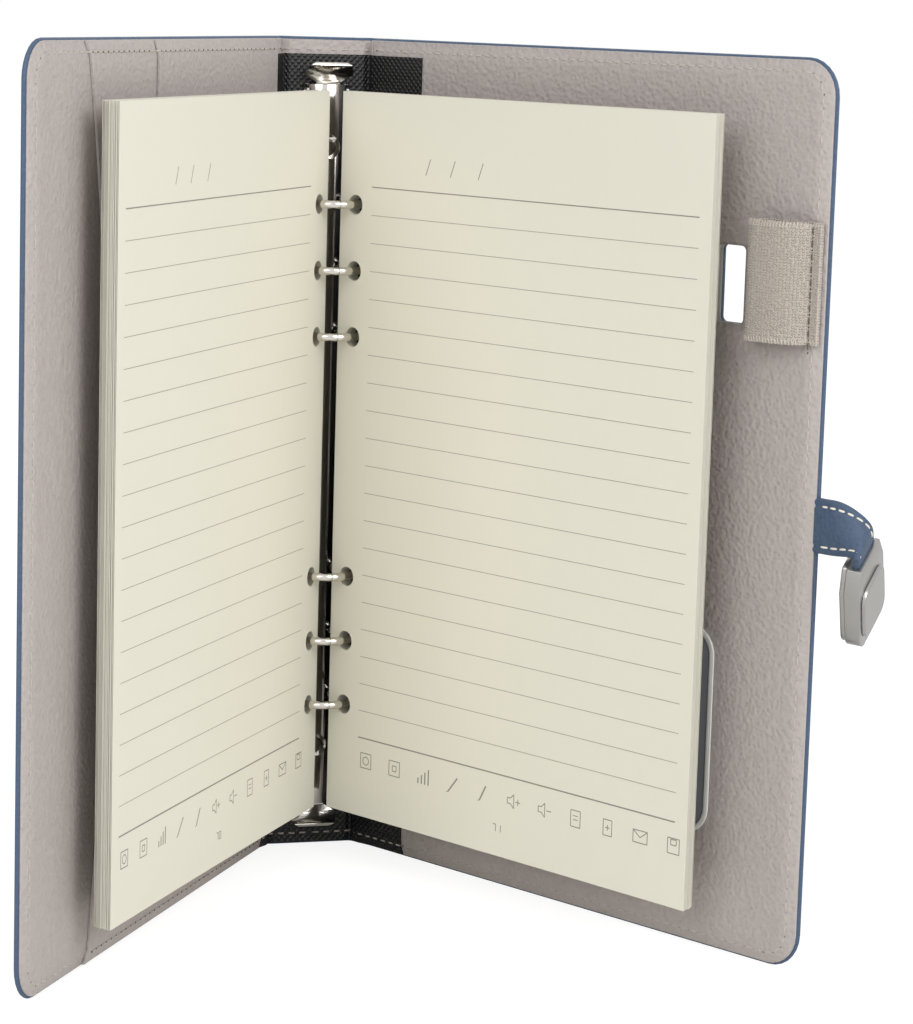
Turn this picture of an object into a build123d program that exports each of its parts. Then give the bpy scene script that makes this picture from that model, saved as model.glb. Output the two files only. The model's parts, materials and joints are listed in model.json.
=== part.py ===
from build123d import *
import math
import os

# A six-ring notebook with a power bank in its back cover, standing open on its lower edge.
# All sizes are in millimetres. X runs across the spine, Y from the reader to the spine and
# Z up the height of the book. The origin is on the standing edge, midway between the hinge
# axes of the two covers. "front" is the cover on the left, "back" the cover on the right.

# Book and its opening
BOOK_HEIGHT = 240.0
COVER_REACH = 174.0
HINGE_HALF = 14.0
FRONT_ANGLE = 33.2
BACK_ANGLE = 28.9
CORNER_RADIUS = 10.0

# Layers of the covers and spine
SKIN = 1.0
BOARD = 1.4
LINING = 0.6
VINYL = 0.5
EDGE_WRAP = 1.0
LINING_INSET = 0.8
BOARD_START = 3.5
SKIN_GAP = 0.3
CREASE_GAP = 1.3
CREASE_STRIP = 0.6
CREASE_SLOPE = 1.8
PAD_RISE = 3.0
PAD_INSET = 13.0
PAD_START = 9.0
PAD_SLOPE = 9.0
PAD_CORNER = 8.0
PAD_AROUND_BANK = 12.0

# Vinyl panel over the spine and the lining's hem above it
HEM_WIDTH = 3.9
FRONT_VINYL_END = 7.5
BACK_VINYL_END = 24.0
HEM_GAP = 0.3

# Ring mechanism
RING_AXIS_DEPTH = 11.2
RING_RADIUS = 9.2
WIRE = 2.4
WIRE_SIDES = 8
RING_STEPS = 7
BEND_STEPS = 2
RIVET_SIDES = 16
RING_PITCH = 19.0
RING_MIDDLE = 70.0
TIP_GAP = 0.1
TIP_PIN = 1.2
TIP_PIN_LENGTH = 0.7
TIP_PIN_CLEARANCE = 0.15
LEG_BEND = 2.0
WIRE_ENTRY = 4.7
TENON = 1.6
PEEN = 2.6
PEEN_THICKNESS = 0.25
CASE_LENGTH = 213.0
CASE_HALF_WIDTH = 7.0
CASE_RISE = 4.8
CASE_FOOT = 0.6
CASE_WALL = 0.6
CASE_LIP = 1.8
CASE_LIP_THICKNESS = 0.5
SLOT_HEIGHT = 3.2
SLOT_CLEARANCE = 0.2
SLOT_OUTER = 6.6
SLOT_FLOOR = 1.9
BLADE_THICKNESS = 0.7
BLADE_EDGE = 5.6
BLADE_CENTRE_GAP = 0.2
BLADE_LENGTH = 204.6
BLADE_SEAT = 0.15
RIVET_FROM_END = 18.0
RIVET_SHANK = 3.2
RIVET_HEAD = 5.0
RIVET_HEAD_RISE = 0.7
RIVET_SEAT = 7.2
RIVET_SEAT_DEPTH = 0.6
RIVET_FLANGE = 6.0
RIVET_FLANGE_THICKNESS = 0.5
RIVET_CLEARANCE = 0.7

# Thumb levers
LEVER_PIN_FROM_END = 1.7
LEVER_PIN_DEPTH = 1.8
LEVER_PIN = 1.5
LEVER_PIN_CLEARANCE = 0.05
LEVER_BOSS = 2.6
LEVER_NECK = 7.0
LEVER_PAD = 14.3
LEVER_SHEET = 1.0
LEVER_REACH = 8.1
LEVER_LIFT = 4.8
LEVER_CORNER = 3.5

# Leaves
LEAF_WIDTH = 142.0
LEAF_HEIGHT = 210.0
LEFT_LEAF_ANGLE = 34.7
RIGHT_LEAF_ANGLE = 28.2
BLOCKS = 4
BLOCK_THICKNESS = 1.35
FIRST_LEAF_OFFSET = 0.3
HOLE = 5.8
HOLE_SIDES = 8
HOLE_MARGIN = 6.0
HOLE_PLAY = 0.3

# Pockets on the front cover
POCKET_START = 8.2
SMALL_POCKET_START = 18.0
LARGE_POCKET_SHEET = 0.7
LARGE_POCKET_TOP = 141.0
LARGE_POCKET_MIDDLE = 126.0
LARGE_POCKET_BOTTOM = 136.0
SMALL_POCKET_SHEET = 0.6
SMALL_POCKET_END = 98.0
SMALL_POCKET_HEIGHT = 129.2

# Steel keeper in the front cover
KEEPER_LENGTH = 18.0
KEEPER_HEIGHT = 16.0
KEEPER_THICKNESS = 0.8
KEEPER_FROM_EDGE = 24.0

# Power bank
BANK_FAR = 142.4
BANK_NEAR = 36.0
BANK_LOW = 30.7
BANK_HIGH = 88.1
BANK_CORNER = 8.0
BANK_PROUD = 4.9
BANK_SUNK = 4.2
BANK_WALL = 1.2
BANK_FIT = 0.1
FACE_PLATE = 0.6
FACE_RECESS = 0.3
TRIM_WIDTH = 1.6
TRIM_THICKNESS = 0.6
CELL_GAP = 1.0
CELL_THICKNESS = 5.0
CELL_CORNER = 2.5
CIRCUIT_STRIP = 12.0
CIRCUIT_THICKNESS = 1.0
CIRCUIT_LEVEL = 2.35
POST = 3.0
CHIP = 4.5
CHIP_THICKNESS = 1.0
CHIPS = 3
CHIP_PITCH = 10.0
CHIPS_FROM_END = 10.0
LEAD_WIDTH = 2.0
LEAD_THICKNESS = 0.2
LEAD_PITCH = 3.0
SWITCH = 4.0
SWITCH_HEIGHT = 2.4

# Sockets, button and lights of the power bank
SOCKET_SHELL = 0.3
SOCKET_LENGTH = 7.0
USB_C_WIDTH = 8.9
USB_C_HEIGHT = 3.2
USB_C_REACH = 92.0
MICRO_WIDTH = 7.6
MICRO_HEIGHT = 2.8
MICRO_REACH = 112.0
SOCKET_GAP = 0.2
TONGUE = 0.7
BUTTON_REACH = 66.0
BUTTON_WIDTH = 8.0
BUTTON_HEIGHT = 2.4
BUTTON_PROUD = 0.9
BUTTON_TRAVEL = 0.5
BUTTON_FLANGE = 0.8
BUTTON_CLEARANCE = 0.15
LIGHTS = 4
LIGHT_PITCH = 4.0
LIGHT_BORE = 1.6
LIGHT_SIDES = 8
LIGHTS_FROM_END = 12.0
LIGHTS_FROM_EDGE = 3.0

# Pen loop and the slot through the cover beside it
LOOP_WIDTH = 18.6
LOOP_SEAM = 2.6
LOOP_RISE = 7.1
LOOP_BAND = 0.7
LOOP_CORNER = 3.2
LOOP_LOW = 166.8
LOOP_HIGH = 198.2
SLOT_FROM_LOOP = 3.0
SLOT_WIDTH = 9.4
SLOT_LOW = 170.0
SLOT_HIGH = 190.5
SLOT_CORNER = 1.5

# Strap and clasp
STRAP_WIDTH = 14.6
STRAP_THICKNESS = 2.0
STRAP_ROOT = 4.0
STRAP_LENGTH = 12.5
STRAP_TWIST = 65.0
STRAP_BEND = 108.0
STRAP_SECTIONS = 9
STRAP_STEPS = 32
STRAP_GAP = 0.3
STRAP_TUCK = 5.5
STRAP_ROOT_TO_NECK = 3.0
STRAP_END_WIDTH = 12.4
CLASP_LENGTH = 25.0
CLASP_WIDTH = 20.0
CLASP_NECK_WIDTH = 14.4
CLASP_NECK_LENGTH = 6.5
CLASP_CORNER = 4.0
CLASP_BODY = 4.0
CLASP_BACK = 1.6
CLASP_FACE = 1.0
CLASP_FACE_LENGTH = 15.6
CLASP_FACE_WIDTH = 16.6
CLASP_FACE_CENTRE = 15.2
CLASP_FACE_CORNER = 4.0
MAGNET = 10.0
MAGNET_THICKNESS = 2.0
CLASP_PIN = 2.0

# Levels counted from the hinge plane towards the leaves
SKIN_IN = SKIN / 2
BOARD_IN = SKIN_IN + BOARD
LINING_IN = BOARD_IN + LINING
RING_Y = -(LINING_IN + RING_AXIS_DEPTH)
MID_HEIGHT = BOOK_HEIGHT / 2
LINING_TOP = BOOK_HEIGHT - LINING_INSET
VINYL_TOP = LINING_TOP - HEM_WIDTH - HEM_GAP
SPINE_HALF = HINGE_HALF - BOARD_START
SIGN = {"front": -1, "back": 1}
OPENING = {"front": FRONT_ANGLE, "back": BACK_ANGLE}
LEAF_ANGLE = {"front": LEFT_LEAF_ANGLE, "back": RIGHT_LEAF_ANGLE}
HAND = {"front": "left", "back": "right"}
PAD_FIELD = {
    "front": (PAD_START, COVER_REACH - PAD_INSET, PAD_INSET, BOOK_HEIGHT - PAD_INSET),
    "back": (
        BANK_NEAR - PAD_AROUND_BANK,
        BANK_FAR + PAD_AROUND_BANK,
        BANK_LOW - PAD_AROUND_BANK,
        BANK_HIGH + PAD_AROUND_BANK,
    ),
}
RING_HEIGHTS = [
    MID_HEIGHT + way * (RING_MIDDLE / 2 + step * RING_PITCH) for way in (-1, 1) for step in range(3)
]
rivet_half = CASE_LENGTH / 2 - RIVET_FROM_END
lever_half = CASE_LENGTH / 2 - LEVER_PIN_FROM_END
RIVET_HEIGHTS = [MID_HEIGHT - rivet_half, MID_HEIGHT + rivet_half]
LEVER_HEIGHTS = {"bottom": MID_HEIGHT - lever_half, "top": MID_HEIGHT + lever_half}

os.makedirs("parts", exist_ok=True)


def save(piece, name):
    """Labels a finished piece and writes its STEP file."""
    piece.part.label = name
    export_step(piece.part, f"parts/{name}.step")


# Planes of the covers and leaves


def along(angle, sign):
    """Direction from the spine to the fore-edge at an angle from the closed position."""
    turn = math.radians(angle)
    return Vector(sign * math.sin(turn), -math.cos(turn), 0)


def outward(angle, sign):
    """Direction out of the book, square to a cover or leaf at that angle."""
    turn = math.radians(angle)
    return Vector(sign * math.cos(turn), math.sin(turn), 0)


def hinge_point(side):
    """Foot of a cover's hinge axis."""
    return Vector(SIGN[side] * HINGE_HALF, 0, 0)


def cover_plane(side, level):
    """Plane of a cover, level inside its hinge axis, with X to the fore-edge and Y up."""
    out = outward(OPENING[side], SIGN[side])
    return Plane(
        origin=hinge_point(side) - out * level,
        x_dir=along(OPENING[side], SIGN[side]),
        z_dir=out * -SIGN[side],
    )


def section_plane(side, height):
    """Level plane through a cover's hinge, with X to the fore-edge."""
    return Plane(
        origin=hinge_point(side) + Vector(0, 0, height),
        x_dir=along(OPENING[side], SIGN[side]),
        z_dir=(0, 0, 1),
    )


def section(side, points, low, high):
    """Adds a run of one cross-section, given as reach and level pairs, between two heights."""
    with BuildSketch(section_plane(side, low)) as profile:
        with BuildLine():
            Polyline([(reach, -SIGN[side] * level) for reach, level in points], close=True)
        make_face()
    extrude(profile.sketch, amount=high - low)


def plate(side, level, thickness, reach, heights, corner=0.0, mode=Mode.ADD):
    """Adds or cuts a flat rounded plate on a cover, from level towards the leaves."""
    near, far = reach
    low, high = heights
    with BuildSketch(cover_plane(side, level)) as outline:
        with Locations(((near + far) / 2, (low + high) / 2)):
            if corner > 0:
                RectangleRounded(far - near, high - low, corner)
            else:
                Rectangle(far - near, high - low)
    extrude(outline.sketch, amount=SIGN[side] * thickness, mode=mode)


def cover_layer(side, level, thickness, start, inset, mode=Mode.ADD):
    """Adds or cuts a whole layer of a cover, rounded at the fore-edge corners."""
    reach = COVER_REACH - inset - start
    with BuildSketch(cover_plane(side, level)) as outline:
        with Locations((start + reach / 2, MID_HEIGHT)):
            Rectangle(reach, BOOK_HEIGHT - 2 * inset)
        fillet(outline.vertices().group_by(Axis.X)[-1], CORNER_RADIUS - inset)
    extrude(outline.sketch, amount=SIGN[side] * thickness, mode=mode)


def padding(side, level, mode=Mode.ADD):
    """Adds or cuts the raised padded field, rising outwards from a level."""
    near, far, low, high = PAD_FIELD[side]
    rings = []
    for step, rise in ((0.0, 0.0), (PAD_SLOPE, PAD_RISE)):
        with BuildSketch(cover_plane(side, level - rise)) as ring:
            with Locations(((near + far) / 2, (low + high) / 2)):
                RectangleRounded(far - near - 2 * step, high - low - 2 * step, PAD_CORNER)
        rings.append(ring.sketch)
    loft(rings, mode=mode)


# Spine


def spine_strip(low, high):
    """Adds the thin sheet that lines the spine and dips into both creases."""
    edge = HINGE_HALF - CREASE_GAP
    half = [
        (edge - CREASE_SLOPE, -LINING_IN),
        (edge, -SKIN_IN - CREASE_STRIP),
        (edge, -SKIN_IN),
        (edge - CREASE_STRIP, -SKIN_IN),
        (SPINE_HALF, -BOARD_IN),
    ]
    other_half = [(-x, y) for x, y in reversed(half)]
    with BuildSketch(Plane.XY.offset(low)) as profile:
        with BuildLine():
            Polyline(half + other_half, close=True)
        make_face()
    extrude(profile.sketch, amount=high - low)


with BuildPart() as spine_skin:
    with BuildSketch():
        Rectangle(2 * HINGE_HALF, SKIN)
        with Locations((-HINGE_HALF, 0), (HINGE_HALF, 0)):
            Circle(SKIN_IN)
    extrude(amount=BOOK_HEIGHT)
    for edge_height in (0, BOOK_HEIGHT - EDGE_WRAP):
        with BuildSketch(Plane.XY.offset(edge_height)):
            with Locations((0, -(SKIN_IN + BOARD_IN) / 2)):
                Rectangle(2 * SPINE_HALF, BOARD)
        extrude(amount=EDGE_WRAP)
save(spine_skin, "spine_skin")

with BuildPart() as spine_board:
    with BuildSketch(Plane.XY.offset(EDGE_WRAP)):
        with Locations((0, -(SKIN_IN + BOARD_IN) / 2)):
            Rectangle(2 * SPINE_HALF, BOARD)
    extrude(amount=BOOK_HEIGHT - 2 * EDGE_WRAP)
    with BuildSketch(Plane.XZ):
        with Locations([(0, height) for height in RIVET_HEIGHTS]):
            RegularPolygon(RIVET_SHANK / 2, RIVET_SIDES)
    extrude(amount=BOARD_IN, mode=Mode.SUBTRACT)
    with BuildSketch(Plane.XZ):
        with Locations([(0, height) for height in RIVET_HEIGHTS]):
            RegularPolygon(RIVET_FLANGE / 2, RIVET_SIDES)
    extrude(amount=SKIN_IN + RIVET_FLANGE_THICKNESS, mode=Mode.SUBTRACT)
save(spine_board, "spine_board")

with BuildPart() as spine_vinyl:
    spine_strip(LINING_INSET, VINYL_TOP)
    with BuildSketch(Plane.XZ.offset(BOARD_IN)):
        with Locations([(0, height) for height in RIVET_HEIGHTS]):
            RegularPolygon(RIVET_SHANK / 2, RIVET_SIDES)
    extrude(amount=LINING, mode=Mode.SUBTRACT)
save(spine_vinyl, "spine_vinyl")

with BuildPart() as spine_hem:
    spine_strip(VINYL_TOP + HEM_GAP, LINING_TOP)
save(spine_hem, "spine_hem")

# Ring case: a rolled steel arch with lips that hold the blades

CASE_ARC_RISE = CASE_RISE - CASE_FOOT
CASE_ARC = (CASE_HALF_WIDTH**2 + CASE_ARC_RISE**2) / (2 * CASE_ARC_RISE)
CASE_ARC_Y = -LINING_IN - CASE_RISE + CASE_ARC
CASE_CREST = -LINING_IN - CASE_RISE
LIP_TOP = -LINING_IN - CASE_LIP_THICKNESS
INNER_ARC = CASE_ARC - CASE_WALL
INNER_FOOT = math.sqrt(INNER_ARC**2 - (CASE_ARC_Y - LIP_TOP) ** 2)
LEVER_PIN_Y = -LINING_IN - LEVER_PIN_DEPTH
ENTRY_ANGLE = math.degrees(math.acos(WIRE_ENTRY / RING_RADIUS))
TIP_ANGLE = math.degrees(math.asin(TIP_GAP / 2 / RING_RADIUS))
LEG_X = WIRE_ENTRY - LEG_BEND * (1 - math.cos(math.radians(ENTRY_ANGLE)))
LEG_Y = RING_Y + (RING_RADIUS + LEG_BEND) * math.sin(math.radians(ENTRY_ANGLE))
BLADE_BACK = LIP_TOP - BLADE_SEAT
BLADE_FRONT = BLADE_BACK - BLADE_THICKNESS
BLADE_PIVOT_Y = (BLADE_BACK + BLADE_FRONT) / 2

with BuildPart() as ring_case:
    with BuildSketch(Plane.XY.offset(MID_HEIGHT - CASE_LENGTH / 2)):
        with BuildLine():
            ThreePointArc(
                (-CASE_HALF_WIDTH, -LINING_IN - CASE_FOOT),
                (0, CASE_CREST),
                (CASE_HALF_WIDTH, -LINING_IN - CASE_FOOT),
            )
            Polyline(
                (CASE_HALF_WIDTH, -LINING_IN - CASE_FOOT),
                (CASE_HALF_WIDTH, -LINING_IN),
                (-CASE_HALF_WIDTH, -LINING_IN),
                (-CASE_HALF_WIDTH, -LINING_IN - CASE_FOOT),
            )
        make_face()
        with BuildLine():
            ThreePointArc((-INNER_FOOT, LIP_TOP), (0, CASE_CREST + CASE_WALL), (INNER_FOOT, LIP_TOP))
            Line((INNER_FOOT, LIP_TOP), (-INNER_FOOT, LIP_TOP))
        make_face(mode=Mode.SUBTRACT)
        with Locations((0, -LINING_IN - CASE_LIP_THICKNESS / 2)):
            Rectangle(2 * (CASE_HALF_WIDTH - CASE_LIP), CASE_LIP_THICKNESS, mode=Mode.SUBTRACT)
    extrude(amount=CASE_LENGTH)
    with BuildSketch(Plane.XZ.offset(-CASE_CREST - RIVET_SEAT_DEPTH - CASE_WALL)):
        with Locations([(0, height) for height in RIVET_HEIGHTS]):
            RegularPolygon(RIVET_SEAT / 2, RIVET_SIDES)
    extrude(amount=CASE_WALL)
    with BuildSketch(Plane.XZ.offset(-CASE_CREST - RIVET_SEAT_DEPTH)):
        with Locations([(0, height) for height in RIVET_HEIGHTS]):
            RegularPolygon(RIVET_SEAT / 2, RIVET_SIDES)
    extrude(amount=CASE_RISE, mode=Mode.SUBTRACT)
    with BuildSketch(Plane.XZ.offset(LINING_IN)):
        with Locations([(0, height) for height in RIVET_HEIGHTS]):
            RegularPolygon(RIVET_SHANK / 2, RIVET_SIDES)
    extrude(amount=2 * CASE_RISE, mode=Mode.SUBTRACT)
    slot_inner = LEG_X - WIRE / 2 + SLOT_CLEARANCE
    slot_width = SLOT_OUTER - slot_inner
    with BuildSketch(Plane.XZ.offset(LINING_IN + SLOT_FLOOR)):
        for height in RING_HEIGHTS:
            with Locations(
                ((slot_inner + SLOT_OUTER) / 2, height), (-(slot_inner + SLOT_OUTER) / 2, height)
            ):
                Rectangle(slot_width, SLOT_HEIGHT)
    extrude(amount=2 * CASE_RISE, mode=Mode.SUBTRACT)
    with Locations([(0, LEVER_PIN_Y, height) for height in LEVER_HEIGHTS.values()]):
        Cylinder(LEVER_PIN / 2, 4 * CASE_HALF_WIDTH, rotation=(0, 90, 0), mode=Mode.SUBTRACT)
save(ring_case, "ring_case")

with BuildPart() as case_rivets:
    seat = -CASE_CREST - RIVET_SEAT_DEPTH
    with BuildSketch(Plane.XZ.offset(SKIN_IN)):
        with Locations([(0, height) for height in RIVET_HEIGHTS]):
            RegularPolygon(RIVET_SHANK / 2, RIVET_SIDES)
    extrude(amount=seat - SKIN_IN)
    with BuildSketch(Plane.XZ.offset(SKIN_IN)):
        with Locations([(0, height) for height in RIVET_HEIGHTS]):
            RegularPolygon(RIVET_FLANGE / 2, RIVET_SIDES)
    extrude(amount=RIVET_FLANGE_THICKNESS)
    with BuildSketch(Plane.XZ.offset(seat)):
        with Locations([(0, height) for height in RIVET_HEIGHTS]):
            RegularPolygon(RIVET_HEAD / 2, RIVET_SIDES)
    extrude(amount=RIVET_HEAD_RISE, taper=35)
save(case_rivets, "case_rivets")

with BuildPart() as lever_pins:
    pin_half = math.sqrt(CASE_ARC**2 - (CASE_ARC_Y - LEVER_PIN_Y) ** 2)
    with Locations([(0, LEVER_PIN_Y, height) for height in LEVER_HEIGHTS.values()]):
        Cylinder(LEVER_PIN / 2, 2 * pin_half, rotation=(0, 90, 0))
save(lever_pins, "lever_pins")

# Blades and ring halves


def run_round(middle, radius, start, end, steps, height):
    """Corners of a run of short straights that touches an arc from outside, angles from the Y axis."""
    turn = math.radians((end - start) / steps)
    reach = radius / math.cos(turn / 2)
    angles = [math.radians(start) + turn * (step + 0.5) for step in range(steps)]
    return [(middle[0] + reach * math.sin(a), middle[1] - reach * math.cos(a), height) for a in angles]


def wire_corners(height):
    """Corners of the right ring half's wire, from its tip round the ring and down to the blade."""
    tip = math.radians(TIP_ANGLE)
    bend_middle = (LEG_X + LEG_BEND, LEG_Y)
    return [
        (RING_RADIUS * math.sin(tip), RING_Y - RING_RADIUS * math.cos(tip), height),
        *run_round((0, RING_Y), RING_RADIUS, TIP_ANGLE, 90 + ENTRY_ANGLE, RING_STEPS, height),
        *run_round(bend_middle, LEG_BEND, ENTRY_ANGLE - 90, -90, BEND_STEPS, height),
        (LEG_X, BLADE_FRONT, height),
    ]


for side in ("front", "back"):
    sign = SIGN[side]
    with BuildPart() as ring_blade:
        with BuildSketch(Plane.XY.offset(MID_HEIGHT - BLADE_LENGTH / 2)):
            with Locations((sign * (BLADE_CENTRE_GAP + BLADE_EDGE) / 2, BLADE_PIVOT_Y)):
                Rectangle(BLADE_EDGE - BLADE_CENTRE_GAP, BLADE_THICKNESS)
            with Locations((sign * BLADE_EDGE, BLADE_PIVOT_Y)):
                Circle(BLADE_THICKNESS / 2)
        extrude(amount=BLADE_LENGTH)
        with BuildSketch(Plane.XZ.offset(LINING_IN)):
            with Locations([(0, height) for height in RIVET_HEIGHTS]):
                RegularPolygon(RIVET_SHANK / 2 + RIVET_CLEARANCE, RIVET_SIDES)
            with Locations([(sign * LEG_X, height) for height in RING_HEIGHTS]):
                RegularPolygon(TENON / 2, WIRE_SIDES)
        extrude(amount=CASE_RISE, mode=Mode.SUBTRACT)
    save(ring_blade, f"ring_blade_{HAND[side]}")

    with BuildPart() as ring_halves:
        for height in RING_HEIGHTS:
            with BuildLine():
                Polyline(*[(sign * x, y, z) for x, y, z in wire_corners(height)])
            tip = math.radians(TIP_ANGLE)
            tip_place = (sign * RING_RADIUS * math.sin(tip), RING_Y - RING_RADIUS * math.cos(tip), height)
            with BuildSketch(Plane(tip_place, (0, 0, 1), (sign * math.cos(tip), math.sin(tip), 0))):
                RegularPolygon(WIRE / 2, WIRE_SIDES, rotation=180 / WIRE_SIDES)
            sweep(transition=Transition.RIGHT)
            with BuildSketch(Plane.XZ.offset(-BLADE_BACK)):
                with Locations((sign * LEG_X, height)):
                    RegularPolygon(TENON / 2, WIRE_SIDES)
            extrude(amount=BLADE_THICKNESS)
            with BuildSketch(Plane.XZ.offset(-BLADE_BACK - PEEN_THICKNESS)):
                with Locations((sign * LEG_X, height)):
                    RegularPolygon(PEEN / 2, WIRE_SIDES)
            extrude(amount=PEEN_THICKNESS)
            tip_point = (0, RING_Y - RING_RADIUS, height)
            if sign > 0:
                with BuildSketch(Plane(origin=tip_point, z_dir=(-1, 0, 0))):
                    RegularPolygon(TIP_PIN / 2, WIRE_SIDES)
                extrude(amount=TIP_PIN_LENGTH)
                with BuildSketch(Plane(origin=tip_point, z_dir=(1, 0, 0))):
                    RegularPolygon(TIP_PIN / 2, WIRE_SIDES)
                extrude(amount=TIP_PIN_LENGTH)
            else:
                with BuildSketch(Plane(origin=tip_point, z_dir=(-1, 0, 0))):
                    RegularPolygon(TIP_PIN / 2 + TIP_PIN_CLEARANCE, WIRE_SIDES)
                extrude(amount=TIP_PIN_LENGTH + 2 * TIP_PIN_CLEARANCE, mode=Mode.SUBTRACT)
    save(ring_halves, f"ring_halves_{HAND[side]}")

# Thumb levers: a scooped sheet that turns on the pin inside the end of the case

for end, way in (("top", 1), ("bottom", -1)):
    pin_height = LEVER_HEIGHTS[end]
    pin_out = -LEVER_PIN_Y
    neck = LEVER_PIN / 2 + LEVER_SHEET
    with BuildPart() as lever:
        with BuildSketch(Plane.YZ):
            with Locations((LEVER_PIN_Y, pin_height)):
                Circle(LEVER_BOSS / 2)
            with BuildLine():
                Polyline(
                    (LEVER_PIN_Y - LEVER_SHEET / 2, pin_height),
                    (LEVER_PIN_Y + LEVER_SHEET / 2, pin_height),
                    (LEVER_PIN_Y, pin_height + way * neck),
                    (LEVER_PIN_Y - LEVER_SHEET, pin_height + way * neck),
                    close=True,
                )
            make_face()
            with BuildLine():
                scoop_out = ThreePointArc(
                    (LEVER_PIN_Y, pin_height + way * neck),
                    (LEVER_PIN_Y - LEVER_LIFT * 0.3, pin_height + way * LEVER_REACH * 0.72),
                    (LEVER_PIN_Y - LEVER_LIFT, pin_height + way * LEVER_REACH),
                )
                scoop_in = ThreePointArc(
                    (LEVER_PIN_Y - LEVER_SHEET, pin_height + way * neck),
                    (
                        LEVER_PIN_Y - LEVER_LIFT * 0.3 - LEVER_SHEET * 0.8,
                        pin_height + way * (LEVER_REACH * 0.72 - LEVER_SHEET * 0.6),
                    ),
                    (
                        LEVER_PIN_Y - LEVER_LIFT - LEVER_SHEET * 0.35,
                        pin_height + way * (LEVER_REACH - LEVER_SHEET * 0.9),
                    ),
                )
                Line(scoop_out @ 0, scoop_in @ 0)
                Line(scoop_out @ 1, scoop_in @ 1)
            make_face()
        extrude(amount=LEVER_PAD / 2, both=True)
        with BuildSketch(Plane.XZ) as outline:
            with BuildLine():
                Polyline(
                    (-LEVER_NECK / 2, pin_height - way * LEVER_BOSS),
                    (-LEVER_NECK / 2, pin_height + way * (neck + LEVER_SHEET / 2)),
                    (-LEVER_PAD / 2, pin_height + way * LEVER_REACH * 0.55),
                    (-LEVER_PAD / 2, pin_height + way * LEVER_REACH * 1.01),
                    (LEVER_PAD / 2, pin_height + way * LEVER_REACH * 1.01),
                    (LEVER_PAD / 2, pin_height + way * LEVER_REACH * 0.55),
                    (LEVER_NECK / 2, pin_height + way * (neck + LEVER_SHEET / 2)),
                    (LEVER_NECK / 2, pin_height - way * LEVER_BOSS),
                    close=True,
                )
            make_face()
            fillet(outline.vertices().sort_by(Axis.Y, reverse=way < 0)[-2:], LEVER_CORNER)
        extrude(amount=4 * LINING_IN + RING_AXIS_DEPTH, mode=Mode.INTERSECT)
        with Locations((0, LEVER_PIN_Y, pin_height)):
            Cylinder(
                LEVER_PIN / 2 + LEVER_PIN_CLEARANCE, LEVER_PAD, rotation=(0, 90, 0), mode=Mode.SUBTRACT
            )
    save(lever, f"lever_{end}")

# Leaves: blocks of sheets stepped so that their holes follow the ring

for side in ("front", "back"):
    sign = SIGN[side]
    angle = LEAF_ANGLE[side]
    for block in range(BLOCKS):
        near_face = FIRST_LEAF_OFFSET + block * BLOCK_THICKNESS
        middle = near_face + BLOCK_THICKNESS / 2
        hole_reach = math.sqrt(RING_RADIUS**2 - middle**2)
        leaf_plane = Plane(
            origin=Vector(0, RING_Y, 0) + outward(angle, sign) * near_face,
            x_dir=along(angle, sign),
            z_dir=outward(angle, sign) * -sign,
        )
        with BuildPart() as leaves:
            with BuildSketch(leaf_plane):
                with Locations((hole_reach - HOLE_MARGIN + LEAF_WIDTH / 2, MID_HEIGHT)):
                    Rectangle(LEAF_WIDTH, LEAF_HEIGHT)
                with Locations([(hole_reach + HOLE_PLAY, height) for height in RING_HEIGHTS]):
                    RegularPolygon(HOLE / 2, HOLE_SIDES, major_radius=False, mode=Mode.SUBTRACT)
            extrude(amount=-sign * BLOCK_THICKNESS)
        save(leaves, f"{HAND[side]}_leaves_{block + 1}")

# Front cover

VINYL_SPAN = (LINING_INSET, VINYL_TOP)


def lining_section(side):
    """Adds the lining sheet of a cover, dipping to the skin at the crease."""
    end = COVER_REACH - LINING_INSET
    points = [
        (CREASE_GAP, SKIN_IN),
        (CREASE_GAP, SKIN_IN + CREASE_STRIP),
        (CREASE_GAP + CREASE_SLOPE, LINING_IN),
        (end, LINING_IN),
        (end, BOARD_IN),
        (BOARD_START, BOARD_IN),
        (CREASE_GAP + CREASE_STRIP, SKIN_IN),
    ]
    section(side, points, LINING_INSET, LINING_TOP)
    cover_layer(side, 0, 2 * LINING_IN, 0, LINING_INSET, mode=Mode.INTERSECT)


def skin_shell(side):
    """Adds the outer leather of a cover with its turned edges and raised field."""
    cover_layer(side, -SKIN_IN, SKIN, SKIN_IN + SKIN_GAP, 0)
    cover_layer(side, SKIN_IN, BOARD, BOARD_START, 0)
    cover_layer(side, SKIN_IN, BOARD, BOARD_START - EDGE_WRAP, EDGE_WRAP, mode=Mode.SUBTRACT)
    padding(side, -SKIN_IN)
    padding(side, SKIN_IN, mode=Mode.SUBTRACT)


with BuildPart() as front_skin:
    skin_shell("front")
save(front_skin, "front_skin")

KEEPER_REACH = COVER_REACH - KEEPER_FROM_EDGE
KEEPER_SPAN = (KEEPER_REACH - KEEPER_LENGTH / 2, KEEPER_REACH + KEEPER_LENGTH / 2)
KEEPER_HEIGHTS = (MID_HEIGHT - KEEPER_HEIGHT / 2, MID_HEIGHT + KEEPER_HEIGHT / 2)

with BuildPart() as front_board:
    cover_layer("front", SKIN_IN, BOARD, BOARD_START, EDGE_WRAP)
    plate("front", SKIN_IN, KEEPER_THICKNESS, KEEPER_SPAN, KEEPER_HEIGHTS, mode=Mode.SUBTRACT)
save(front_board, "front_board")

with BuildPart() as keeper:
    plate("front", SKIN_IN, KEEPER_THICKNESS, KEEPER_SPAN, KEEPER_HEIGHTS)
save(keeper, "keeper")

with BuildPart() as front_foam:
    padding("front", SKIN_IN)
save(front_foam, "front_foam")

with BuildPart() as front_lining:
    lining_section("front")
save(front_lining, "front_lining")

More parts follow.
